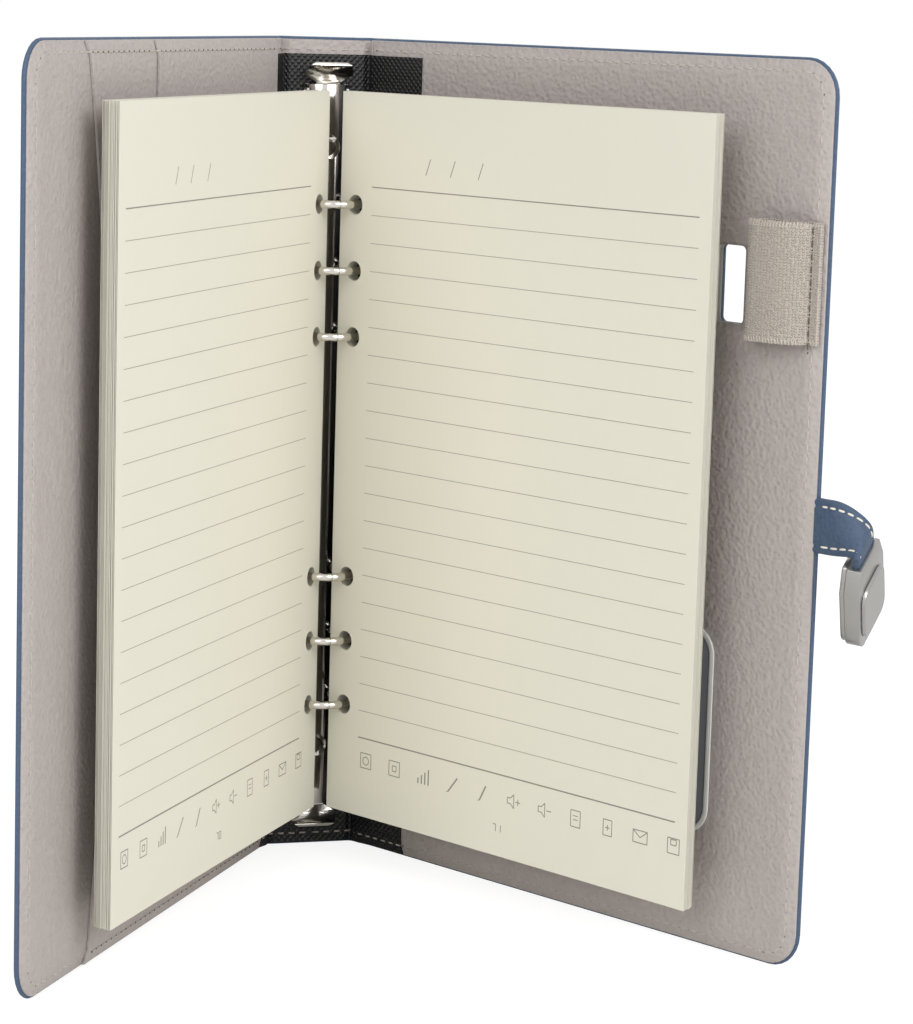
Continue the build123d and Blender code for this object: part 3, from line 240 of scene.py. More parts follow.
def linear(hex_colour: str) -> tuple[float, float, float, float]:
    """Turns an sRGB hex colour to the linear one that a shader takes.

    Args:
        hex_colour: Colour written as "#rrggbb".

    Returns:
        Red, green, blue and an alpha of 1.
    """
    values = [int(hex_colour[place:place + 2], 16) / 255 for place in (1, 3, 5)]
    curve = [v / 12.92 if v <= 0.04045 else ((v + 0.055) / 1.055) ** 2.4 for v in values]
    return (curve[0], curve[1], curve[2], 1.0)


def add_node(
    tree: bpy.types.NodeTree,
    kind: str,
    inputs: dict[str | int, object] | None = None,
    **settings: object,
) -> bpy.types.Node:
    """Adds a node with its settings, and links or sets its inputs.

    Args:
        tree: Node tree that gets the node.
        kind: Blender's name of the node type.
        inputs: Values, or output sockets to link, by input name or number.
        **settings: Properties of the node.

    Returns:
        The new node.
    """
    node = tree.nodes.new(kind)
    for name, value in settings.items():
        setattr(node, name, value)
    for name, value in (inputs or {}).items():
        if isinstance(value, bpy.types.NodeSocket):
            tree.links.new(value, node.inputs[name])
        else:
            node.inputs[name].default_value = value
    return node


def shade(colour: tuple[float, ...], share: float) -> tuple[float, float, float, float]:
    """Lightens or darkens a linear colour by a share of itself."""
    return (*[min(1.0, max(0.0, value * (1 + share))) for value in colour[:3]], 1.0)


def relief(
    tree: bpy.types.NodeTree, finish: Finish, place: bpy.types.NodeSocket
) -> bpy.types.NodeSocket:
    """Adds the nodes of a finish's height pattern.

    Args:
        tree: Node tree of the material.
        finish: Finish whose pattern is drawn.
        place: Socket with the place in metres.

    Returns:
        Socket with a height from 0 to 1.
    """
    per_metre = 1 / (finish.scale * MM)
    if finish.pattern is Pattern.GRAIN:
        cells = add_node(tree, "ShaderNodeTexVoronoi", {"Vector": place, "Scale": per_metre},
                         feature="SMOOTH_F1")
        fine = add_node(tree, "ShaderNodeTexNoise",
                        {"Vector": place, "Scale": per_metre * 0.5, "Detail": 3.0})
        mixed = add_node(tree, "ShaderNodeMath", {0: cells.outputs["Distance"], 1: fine.outputs["Fac"]},
                         operation="ADD")
        return mixed.outputs[0]
    if finish.pattern in (Pattern.DOTS, Pattern.RIBS):
        flat = add_node(tree, "ShaderNodeUVMap", uv_map="flat")
        knitted = finish.pattern is Pattern.RIBS
        turned = add_node(tree, "ShaderNodeMapping", {
            "Vector": flat.outputs["UV"],
            "Rotation": (0.0, 0.0, 0.0 if knitted else math.radians(45)),
            "Scale": (1 / finish.scale, (1.3 if knitted else 1.0) / finish.scale, 1.0),
        })
        cells = add_node(tree, "ShaderNodeTexVoronoi", {
            "Vector": turned.outputs["Vector"], "Scale": 1.0, "Randomness": 0.35 if knitted else 0.0
        }, voronoi_dimensions="2D")
        dome = add_node(tree, "ShaderNodeMapRange",
                        {"Value": cells.outputs["Distance"], "From Min": 0.5, "From Max": 0.12},
                        interpolation_type="SMOOTHSTEP")
        return dome.outputs["Result"]
    stretch = {
        Pattern.FIBRE: (
            1.0, 1.0, 0.35
        ), Pattern.BRUSHED: (1.0, 1.0, 0.06), Pattern.FOAM: (1.0, 1.0, 1.0)
    }.get(finish.pattern, (1.0, 1.0, 1.0))
    drawn = add_node(tree, "ShaderNodeMapping", {"Vector": place, "Scale": stretch})
    strands = add_node(tree, "ShaderNodeTexNoise", {
        "Vector": drawn.outputs["Vector"], "Scale": per_metre, "Detail": 4.0, "Roughness": 0.6
    })
    return strands.outputs["Fac"]


def material_of(finish: Finish) -> bpy.types.Material:
    """Makes a finish's material, or returns it if it is made already.

    Args:
        finish: The finish.

    Returns:
        Its material, named after the finish.
    """
    known = bpy.data.materials.get(finish.name)
    if known is not None:
        return known
    material = bpy.data.materials.new(finish.name)
    material.use_nodes = True
    tree = material.node_tree
    tree.nodes.clear()
    place = add_node(tree, "ShaderNodeTexCoord").outputs["Object"]
    colour = linear(finish.colour)
    patches = add_node(tree, "ShaderNodeTexNoise",
                       {"Vector": place, "Scale": 1 / (finish.patch * MM), "Detail": 3.0})
    height = relief(tree, finish, place)
    # Tone: random patches, mixed by relief_shading with the relief, which darkens its hollows and lightens its high
    # points as painted shade and highlight
    share = add_node(tree, "ShaderNodeMix", {
        "Factor": finish.relief_shading, "A": patches.outputs["Fac"], "B": height
    })
    tones = add_node(tree, "ShaderNodeMix", {
        "Factor": share.outputs["Result"], "A": shade(
            colour, -finish.tone
        ), "B": shade(colour, finish.tone)
    }, data_type="RGBA")
    tone_out = tones.outputs["Result"]
    if finish.worn:
        rubbed = add_node(tree, "ShaderNodeAttribute", attribute_name="rubbed")
        worn = add_node(tree, "ShaderNodeMix", {
            "Factor": rubbed.outputs["Fac"], "A": tone_out, "B": linear(finish.worn)
        }, data_type="RGBA")
        tone_out = worn.outputs["Result"]
    gloss = add_node(tree, "ShaderNodeMapRange", {
        "Value": height, "To Min": max(
            0.05, finish.roughness - 0.06
        ), "To Max": min(1.0, finish.roughness + 0.06)
    })
    bump = add_node(tree, "ShaderNodeBump", {
        "Strength": 1.0, "Distance": finish.depth * MM, "Height": height
    })
    surface = add_node(tree, "ShaderNodeBsdfPrincipled", {
        "Base Color": tone_out, "Roughness": gloss.outputs["Result"], "Metallic": finish.metallic,
        "Sheen Weight": finish.sheen, "Coat Weight": finish.coat, "Normal": bump.outputs["Normal"]
    })
    add_node(tree, "ShaderNodeOutputMaterial", {"Surface": surface.outputs["BSDF"]})
    material.diffuse_color = colour
    return material


# Meshes


@dataclass
class Draft:
    """Points, flat places and faces of a mesh that is being made, in millimetres."""

    points: list[Vector] = field(default_factory=list)
    flats: list[Place] = field(default_factory=list)
    faces: list[tuple[int, ...]] = field(default_factory=list)
    rubbed: dict[int, float] = field(default_factory=dict)

    def row(self, places: list[Vector], flats: list[Place] | None = None) -> list[int]:
        """Adds points.

        Args:
            places: The points.
            flats: Their places on the flat sheet, for patterns.

        Returns:
            Numbers of the points.
        """
        start = len(self.points)
        self.points.extend(places)
        self.flats.extend(flats or [(0.0, 0.0)] * len(places))
        return list(range(start, len(self.points)))

    def join(self, first: list[int], second: list[int], closed: bool = False) -> None:
        """Adds four-sided faces between two rows of as many points.

        Args:
            first: Numbers of the first row's points.
            second: Numbers of the second row's points.
            closed: Whether the last points are joined to the first.
        """
        count = len(first)
        for here in range(count if closed else count - 1):
            onward = (here + 1) % count
            self.faces.append((first[here], first[onward], second[onward], second[here]))

    def tube(self, rings: list[list[Vector]], flats: list[list[Place]] | None = None) -> None:
        """Adds a closed tube through rings of as many points, with a face over each end.

        Args:
            rings: Rings of points, one after another.
            flats: Places of the points in the pattern, if any.
        """
        rows = [self.row(ring, flats[i] if flats else None) for i, ring in enumerate(rings)]
        for first, second in zip(rows, rows[1:]):
            self.join(first, second, closed=True)
        self.faces.append(tuple(rows[0]))
        self.faces.append(tuple(rows[-1]))

    def make(self, name: str, finish: Finish, slot: str, sharp: float = 40.0) -> bpy.types.Object:
        """Makes the object.

        Args:
            name: Name of the piece.
            finish: Its finish.
            slot: The record's material slot.
            sharp: Angle in degrees above which an edge stays sharp.

        Returns:
            The new object, in metres, riding on nothing yet.
        """
        mesh = bpy.data.meshes.new(name)
        mesh.from_pydata([point * MM for point in self.points], [], self.faces)
        sheet = mesh.uv_layers.new(name="flat")
        for loop in mesh.loops:
            sheet.data[loop.index].uv = self.flats[loop.vertex_index]
        if self.rubbed:
            share = mesh.attributes.new("rubbed", "FLOAT", "POINT")
            for number, value in self.rubbed.items():
                share.data[number].value = value
        graph = bmesh.new()
        graph.from_mesh(mesh)
        bmesh.ops.recalc_face_normals(graph, faces=graph.faces)
        graph.to_mesh(mesh)
        graph.free()
        return place_mesh(mesh, name, finish, slot, sharp)


def place_mesh(
    mesh: bpy.types.Mesh, name: str, finish: Finish, slot: str, sharp: float
) -> bpy.types.Object:
    """Gives a mesh its material and shading and puts it in the scene.

    Args:
        mesh: Mesh to place.
        name: Name of the piece.
        finish: Its finish.
        slot: Material slot of the part that it stands for.
        sharp: Angle in degrees over which an edge stays sharp.

    Returns:
        The new object.
    """
    mesh.shade_smooth()
    mesh.set_sharp_from_angle(angle=math.radians(sharp))
    mesh.materials.clear()
    mesh.materials.append(material_of(finish))
    piece = bpy.data.objects.new(name, mesh)
    bpy.context.scene.collection.objects.link(piece)
    LOG.info("made %s with %d faces", name, len(mesh.polygons))
    return piece


def cut(piece: bpy.types.Object, tool: Draft) -> None:
    """Cuts a closed form out of a piece.

    Args:
        piece: The piece, changed in place.
        tool: The form that is taken away.
    """
    cutter = tool.make(f"{piece.name}_cutter", LINING, "taupe_lining")
    step = piece.modifiers.new("cut", "BOOLEAN")
    step.operation = "DIFFERENCE"
    step.solver = "EXACT"
    step.object = cutter
    settle(piece)
    bpy.data.objects.remove(cutter)


def settle(piece: bpy.types.Object) -> None:
    """Applies a piece's modifiers to its mesh.

    Args:
        piece: Piece whose modifiers are applied.
    """
    bpy.context.view_layer.update()
    seen = piece.evaluated_get(bpy.context.evaluated_depsgraph_get())
    mesh = bpy.data.meshes.new_from_object(seen)
    piece.modifiers.clear()
    piece.data = mesh


def rounded(
    node: str, finish: Finish, slot: str, width: float, steps: int = 2, angle: float = 32.0
) -> bpy.types.Object:
    """Stands a copy with rounded edges in for a rigid CAD node.

    Args:
        node: The CAD node.
        finish: Finish of the copy.
        slot: The record's material slot.
        width: Width of the rounding in millimetres.
        steps: Faces across the rounding.
        angle: Angle in degrees above which an edge is rounded.

    Returns:
        The copy, riding on the node's body.
    """
    source = frame["nodes"][node]
    graph = bmesh.new()
    graph.from_mesh(source.data)
    bmesh.ops.remove_doubles(graph, verts=graph.verts, dist=2e-6)
    bmesh.ops.dissolve_limit(
        graph, angle_limit=math.radians(1.0), verts=graph.verts, edges=graph.edges
    )
    mesh = bpy.data.meshes.new(f"{node}_rounded")
    graph.to_mesh(mesh)
    graph.free()
    for layer in list(mesh.uv_layers):
        mesh.uv_layers.remove(layer)
    piece = place_mesh(mesh, f"{node}_rounded", finish, slot, angle)
    if width > 0:
        bevel = piece.modifiers.new("rounding", "BEVEL")
        bevel.width = width * MM
        bevel.segments = steps
        bevel.limit_method = "ANGLE"
        bevel.angle_limit = math.radians(angle)
        bevel.harden_normals = False
        settle(piece)
        piece.data.shade_smooth()
        piece.data.set_sharp_from_angle(angle=math.radians(angle))
    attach(piece, source["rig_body"])
    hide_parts(node)
    return piece


def ease(share: float) -> float:
    """Smooth step from 0 to 1."""
    share = min(max(share, 0.0), 1.0)
    return share * share * (3 - 2 * share)


def window(place: float, start: float, end: float) -> float:
    """Smooth hump that is 1 midway between two places and 0 outside them.

    Args:
        place: Place along a line.
        start: Where the hump starts.
        end: Where it ends.

    Returns:
        Height of the hump there, from 0 to 1.
    """
    if not start < place < end:
        return 0.0
    return math.sin(math.pi * (place - start) / (end - start)) ** 2


# Covers


@dataclass(frozen=True)
class Cover:
    """A cover's place: its hinge, the way to its fore-edge and the way to the leaves."""

    body: str
    sign: int
    angle: float
    crease_half: float = 3.0

    @property
    def along(self) -> Vector:
        """Way from the hinge to the fore-edge."""
        turn = math.radians(self.angle)
        return Vector((self.sign * math.sin(turn), -math.cos(turn), 0))

    @property
    def inward(self) -> Vector:
        """Way from the cover to the leaves."""
        turn = math.radians(self.angle)
        return Vector((-self.sign * math.cos(turn), -math.sin(turn), 0))

    def at(self, reach: float, height: float, level: float) -> Vector:
        """Point of the flat cover."""
        hinge = Vector((self.sign * HINGE_HALF, 0, height))
        return hinge + self.along * reach + self.inward * level

    def wrap(self, run: float, height: float, level: float) -> Vector:
        """Point of a sheet that lies on the spine, rounds the crease and lies on the cover.

        Args:
            run: Way from the middle of the spine.
            height: Height above the standing edge.
            level: Level inside the hinge plane.

        Returns:
            The point in millimetres.
        """
        turn = math.radians(90 - self.angle)
        radius = self.crease_half / math.tan(turn / 2)
        first = HINGE_HALF - self.crease_half
        if run <= first:
            return Vector((self.sign * run, -level, height))
        if run >= first + 2 * self.crease_half:
            return self.at(run - HINGE_HALF, height, level)
        bend = turn * (run - first) / (2 * self.crease_half)
        across = first + (radius - level) * math.sin(bend)
        return Vector((self.sign * across, -radius + (radius - level) * math.cos(bend), height))

    def facing(self, run: float) -> Vector:
        """Way from a sheet to the leaves at a run."""
        return (self.wrap(run, 0, 1) - self.wrap(run, 0, 0)).normalized()

    def bend(self, piece: bpy.types.Object) -> None:
        """Bakes into its mesh the place of a piece that crosses the crease.

        Args:
            piece: Piece that crosses the crease.
        """
        start = self.wrap(HINGE_HALF - self.crease_half - 0.5, 0, 0) * MM
        end = self.wrap(HINGE_HALF + self.crease_half + 0.5, 0, 0) * MM
        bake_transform(piece)


FRONT = Cover("front_cover", -1, 33.2)
BACK = Cover("back_cover", 1, 28.9)


@dataclass(frozen=True)
class CoverGrid:
    """Rows and columns over a cover, rounded at its two fore-edge corners."""

    start: float
    inset: float
    step: float = 4.0
    fine: tuple[float, float, float] = (9.5, 18.5, 0.75)

    @property
    def corner(self) -> float:
        """Radius of the outline's corners."""
        return CORNER_RADIUS - self.inset

    def heights(self) -> list[float]:
        """Heights of the rows, closer together in the corners.

        Returns:
            Heights from the bottom row to the top one.
        """
        turns = [math.pi / 2 * step / 7 for step in range(8)]
        low = [self.inset + self.corner * (1 - math.cos(turn)) for turn in turns]
        span = BOOK_HEIGHT - 2 * low[-1]
        count = math.ceil(span / self.step)
        middle = [low[-1] + span * step / count for step in range(1, count)]
        return low + middle + [BOOK_HEIGHT - height for height in reversed(low)]

    def far(self, height: float) -> float:
        """Run of the outline's far edge at a height.

        Args:
            height: Height above the table.

        Returns:
            Run of the far edge there.
        """
        depth = self.inset + self.corner - min(height, BOOK_HEIGHT - height)
        full = RUN_END - self.inset
        if depth <= 0:
            return full
        return full - self.corner + math.sqrt(max(0.0, self.corner**2 - depth**2))

    def runs(self) -> list[float]:
        """Runs of the columns, closer together over the crease and at the fore-edge.

        Returns:
            Runs from mid-spine to the fore-edge.
        """
        full = RUN_END - self.inset
        low, high, close = self.fine
        places = []
        place = self.start
        while place < full - 0.4 * self.step:
            places.append(place)
            if place < low:
                place = min(low, place + self.step)
            elif place < high:
                place += close
            elif place > full - 2.2 * self.step:
                place += self.step / 3
            else:
                place += self.step
        return places + [full]

    def rows(self) -> list[list[Place]]:
        """All places, row by row, as run and height.

        Returns:
            Rows of places, each as run and height.
        """
        full = RUN_END - self.inset
        hold = full - 3 * CORNER_RADIUS
        rows = []
        for height in self.heights():
            share = (self.far(height) - hold) / (full - hold)
            rows.append([(run if run < hold else hold + (run - hold) * share, height) for run in self.runs()])
        return rows

    def outward(self, run: float, height: float, last: bool) -> Place:
        """Way out of the sheet at a place of its outline.

        Args:
            run: Distance along the cover from mid-spine.
            height: Height above the table.
            last: Whether the place is at the fore-edge.

        Returns:
            Unit way out of the sheet.
        """
        low = min(height, BOOK_HEIGHT - height)
        up = 1 if height > BOOK_HEIGHT / 2 else -1
        middle_run = RUN_END - CORNER_RADIUS
        if run > middle_run and low < CORNER_RADIUS:
            way = Vector((run - middle_run, up * (CORNER_RADIUS - low))).normalized()
            return (way.x, way.y)
        if last and run > middle_run:
            return (1.0, 0.0)
        if low < self.inset + 0.01:
            return (0.0, float(up))
        return (0.0, 0.0)


Level = Callable[[float, float], float]


def from_edge(run: float, height: float) -> float:
    """Distance of a place from a cover's outline.

    Args:
        run: Distance along the cover from mid-spine.
        height: Height above the table.

    Returns:
        Distance to the nearest part of the outline.
    """
    inward, upward = RUN_END - run, min(height, BOOK_HEIGHT - height)
    if inward < CORNER_RADIUS and upward < CORNER_RADIUS:
        return CORNER_RADIUS - math.hypot(CORNER_RADIUS - inward, CORNER_RADIUS - upward)
    return min(inward, upward)


def pinch(run: float, height: float) -> float:
    """How far the layers of a cover are pressed together at a place near its sewn edge."""
    return 1.05 * ease((run - 17) / 6) * (1 - ease((from_edge(run, height) - LINING_INSET) / 3.6))


def cover_sheet(
    cover: Cover, grid: CoverGrid, low: Level, high: Level, rim: float, lip: Level | None = None,
    rub: float = 0.0,
) -> Draft:
    """Drafts a closed sheet over a cover with a rounded rim.

    Args:
        cover: The cover that it lies on.
        grid: Its rows and columns.
        low: Level of its outer face.
        high: Level of its inner face.
        rim: How far the rim stands out of the grid.
        lip: Level that the rim turns in to, where that isn't the inner face.
        rub: How much paler the rim is.

    Returns:
        The draft.
    """
    draft = Draft()
    rows = grid.rows()
    outer = [draft.row([cover.wrap(r, h, low(r, h)) for r, h in row], row) for row in rows]
    inner = [draft.row([cover.wrap(r, h, high(r, h)) for r, h in row], row) for row in rows]
    for layer in (outer, inner):
        for first, second in zip(layer, layer[1:]):
            draft.join(first, second)
    last = len(rows[0]) - 1
    top = len(rows) - 1
    border = [(0, column) for column in range(last)]
    border += [(row, last) for row in range(top)]
    border += [(top, column) for column in range(last, 0, -1)]
    border += [(row, 0) for row in range(top, 0, -1)]
    loops = [[outer[row][column] for row, column in border]]
    steps = 6
    for step in range(1, steps + (1 if lip else 0)):
        turn = math.pi * step / steps
        places = []
        flats = []
        for row, column in border:
            run, height = rows[row][column]
            out = grid.outward(run, height, column == last)
            turned = lip(run, height) if lip and out != (0.0, 0.0) else high(run, height)
            start = low(run, height)
            level = start + (turned - start) * (1 - math.cos(turn)) / 2
            if out == (0.0, 0.0):
                level = start + (turned - start) * step / (steps + 1)
            reach = rim * math.sin(turn)
            places.append(cover.wrap(run + out[0] * reach, height + out[1] * reach, level))
            flats.append((run + out[0] * reach, height + out[1] * reach))
        loops.append(draft.row(places, flats))
        for number in loops[-1]:
            draft.rubbed[number] = rub * math.sin(turn)
    loops.append([inner[row][column] for row, column in border])
    for first, second in zip(loops, loops[1:]):
        draft.join(first, second, closed=True)
    return draft


def prism(cover: Cover, near: float, far: float, low: float, high: float, corner: float, level: float,
          end_level: float) -> Draft:
    """Drafts an upright prism with a rounded outline that stands on a cover.

    Args:
        cover: The cover.
        near: Its nearer reach.
        far: Its farther reach.
        low: Its lower height.
        high: Its upper height.
        corner: Radius of its corners.
        level: Level where it starts.
        end_level: Level where it ends.

    Returns:
        The draft.
    """
    outline = rounded_outline(near, far, low, high, corner)
    draft = Draft()
    draft.tube([[cover.at(r, h, k) for r, h in outline] for k in (level, end_level)])
    return draft


def rounded_outline(
    near: float, far: float, low: float, high: float, corner: float, steps: int = 6
) -> list[Place]:
    """Points of a rectangle with round corners, in order round it.

    Args:
        near: Near end of the rectangle.
        far: Far end.
        low: Lower edge.
        high: Upper edge.
        corner: Radius of the corners.
        steps: Steps in a corner.

    Returns:
        Points in order round the outline.
    """
    places = []
    middles = [(far - corner, low + corner, -90), (far - corner, high - corner, 0),
               (near + corner, high - corner, 90), (near + corner, low + corner, 180)]
    for across, up, start in middles:
        for step in range(steps + 1):
            turn = math.radians(start + 90 * step / steps)
            places.append((across + corner * math.cos(turn), up + corner * math.sin(turn)))
    return places


# Sewing


@dataclass(frozen=True)
class Seam:
    """A row of lock stitches: thread that bows over the sheet from one needle hole to the next."""

    pitch: float = STITCH_PITCH
    radius: float = 0.33
    gap: float = 0.75
    sides: int = 6

    def stitches(self, line: list[tuple[Vector, Vector]]) -> list[tuple[Vector, Vector, Vector]]:
        """Splits a line into stitches.

        Args:
            line: Points of the line with the sheet's facing at each.

        Returns:
            Start, end and facing of each stitch.
        """
        lengths = [0.0]
        for (here, _), (onward, _) in zip(line, line[1:]):
            lengths.append(lengths[-1] + (onward - here).length)
        count = max(1, round(lengths[-1] / self.pitch))
        pitch = lengths[-1] / count
        found = []
        for number in range(count):
            start, _ = self.spot(line, lengths, number * pitch + self.gap / 2)
            end, facing = self.spot(line, lengths, (number + 1) * pitch - self.gap / 2)
            found.append((start, end, facing))
        return found

    @staticmethod
    def spot(
        line: list[tuple[Vector, Vector]], lengths: list[float], way: float
    ) -> tuple[Vector, Vector]:
        """Point and facing at a length along a line.

        Args:
            line: Points of the line, each with its facing.
            lengths: Length of the line up to each point.
            way: Length at which the place lies.

        Returns:
            Point and facing there.
        """
        for index in range(1, len(lengths)):
            if way <= lengths[index] or index == len(lengths) - 1:
                share = (way - lengths[index - 1]) / (lengths[index] - lengths[index - 1])
                here, onward = line[index - 1], line[index]
                return here[0].lerp(onward[0], share), here[1].lerp(onward[1], share).normalized()
        return line[-1]

    def sew(self, thread: Draft, hole_shade: Draft, line: list[tuple[Vector, Vector]]) -> None:
        """Adds the stitches of a line, and a dark disc of painted shade in each needle hole.

        Args:
            thread: Draft that gets the thread.
            hole_shade: Draft that gets the dark discs of painted shade in the needle holes.
            line: Points of the line with the sheet's facing at each.
        """
        bow = ((0.0, 0.3, -0.6), (0.14, 0.85, 0.15), (0.5, 1.0, 0.55), (0.86, 0.85, 0.15), (1.0, 0.3, -0.6))
        for start, end, facing in self.stitches(line):
            way = (end - start).normalized()
            side = way.cross(facing).normalized()
            rings = []
            for share, size, rise in bow:
                middle = start.lerp(end, share) + facing * (rise * self.radius)
                rings.append([
                    middle + (
                        side * math.cos(turn) + facing * 0.8 * math.sin(turn)
                    ) * (self.radius * size)
                    for turn in (2 * math.pi * step / self.sides for step in range(self.sides))
                ])
            thread.tube(rings)
            # Dark disc of painted shade in the needle hole, where the pit lies in shade
            pit = start - way * (self.gap / 2)
            ring = [
                pit + (side * math.cos(turn) + way * math.sin(turn)) * (self.radius * 0.95)
                for turn in (2 * math.pi * step / self.sides for step in range(self.sides))
            ]
            hole_shade.tube([[point + facing * rise for point in ring] for rise in (-0.1, 0.03)])


# Studio


@dataclass(frozen=True)
class Studio:
    """Camera at the photograph's place, soft lamps and a pale floor."""

    lens: float = 114.8
    place: tuple[float, float, float] = (-224.2, -929.9, 253.0)
    azimuth: float = 16.08
    pitch: float = 8.99
    roll: float = 1.71
    floor_half: float = 6000.0

    def camera(self) -> None:
        """Places the camera, which looks a little down and to the right."""
        turn, dip, tilt = (math.radians(value) for value in (self.azimuth, self.pitch, self.roll))
        ahead = Vector(
            (math.sin(turn) * math.cos(dip), math.cos(turn) * math.cos(dip), -math.sin(dip))
        )
        right = ahead.cross(Vector((0, 0, 1))).normalized()
        up = right.cross(ahead)
        level_right = right * math.cos(tilt) + up * math.sin(tilt)
        level_up = up * math.cos(tilt) - right * math.sin(tilt)
        data = bpy.data.cameras.new("camera")
        data.lens = self.lens
        data.sensor_width = 36.0
        data.clip_end = 100.0
        camera = bpy.data.objects.new("camera", data)
        turned = Matrix((level_right, level_up, -ahead)).transposed().to_4x4()
        camera.matrix_world = Matrix.Translation(Vector(self.place) * MM) @ turned
        bpy.context.scene.collection.objects.link(camera)
        bpy.context.scene.camera = camera

    def lamp(self, name: str, place: Place, height: float, size: float, watts: float) -> None:
        """Adds a soft area lamp that points at the book.

        Args:
            name: Name of the lamp.
            place: Its X and Y in millimetres.
            height: Its height in millimetres.
            size: Its width in millimetres.
            watts: Its power.
        """
        data = bpy.data.lights.new(name, "AREA")
        data.shape = "DISK"
        data.size = size * MM
        data.energy = watts
        lamp = bpy.data.objects.new(name, data)
        lamp.location = Vector((*place, height)) * MM
        way = Vector((0, -70, 110)) * MM - lamp.location
        lamp.rotation_euler = way.to_track_quat("-Z", "Y").to_euler()
        bpy.context.scene.collection.objects.link(lamp)

    def world(self) -> None:
        """Gives even soft light, and white behind the book and in its reflections."""
        world = bpy.data.worlds.new("studio_world")
        bpy.context.scene.world = world
        world.use_nodes = True
        tree = world.node_tree
        tree.nodes.clear()
        rays = add_node(tree, "ShaderNodeLightPath")
        seen = rays.outputs["Is Camera Ray"]
        for name in ("Is Glossy Ray", "Is Transmission Ray"):
            both = add_node(
                tree, "ShaderNodeMath", {0: seen, 1: rays.outputs[name]}, operation="MAXIMUM"
            )
            seen = both.outputs[0]
        soft = add_node(tree, "ShaderNodeBackground", {"Color": linear("#ffffff"), "Strength": 0.6})
        white = add_node(tree, "ShaderNodeBackground", {"Color": linear("#ffffff"), "Strength": 1.0})
        mixed = add_node(tree, "ShaderNodeMixShader", {
            0: seen, 1: soft.outputs["Background"], 2: white.outputs["Background"]
        })
        add_node(tree, "ShaderNodeOutputWorld", {"Surface": mixed.outputs["Shader"]})

    def floor(self) -> None:
        """Lays the pale floor, which keeps the book's shadow."""
        half = self.floor_half
        draft = Draft()
        corners = [
            Vector((x * half, y * half, -0.05)) for x, y in ((-1, -1), (1, -1), (1, 1), (-1, 1))
        ]
        draft.faces.append(tuple(draft.row(corners)))
        floor = draft.make("studio_floor", STAGE_PAPER, "paper")
        tree = floor.data.materials[0].node_tree
        output = next(node for node in tree.nodes if node.type == "OUTPUT_MATERIAL")
        paper = output.inputs["Surface"].links[0].from_socket
        rays = add_node(tree, "ShaderNodeLightPath")
        glow = add_node(tree, "ShaderNodeEmission", {"Color": linear("#ffffff"), "Strength": 1.2})
        share = add_node(tree, "ShaderNodeMath", {0: rays.outputs["Is Camera Ray"], 1: 0.72},
                         operation="MULTIPLY")
        mixed = add_node(
            tree, "ShaderNodeMixShader", {0: share.outputs[0], 1: paper, 2: glow.outputs[0]}
        )
        tree.links.new(mixed.outputs["Shader"], output.inputs["Surface"])
        floor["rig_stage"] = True

    def build(self) -> None:
        """Sets up camera, lamps, world and floor."""
        bpy.context.scene.view_settings.view_transform = "Standard"
        self.camera()
        self.world()
        self.lamp("key_lamp", (600, -1400), 1000, 1100, 15.0)
        self.lamp("fill_lamp", (-1000, -1200), 900, 1200, 9.5)
        self.lamp("back_lamp", (200, 1300), 1200, 1000, 6.0)
        self.floor()


# Cover pieces


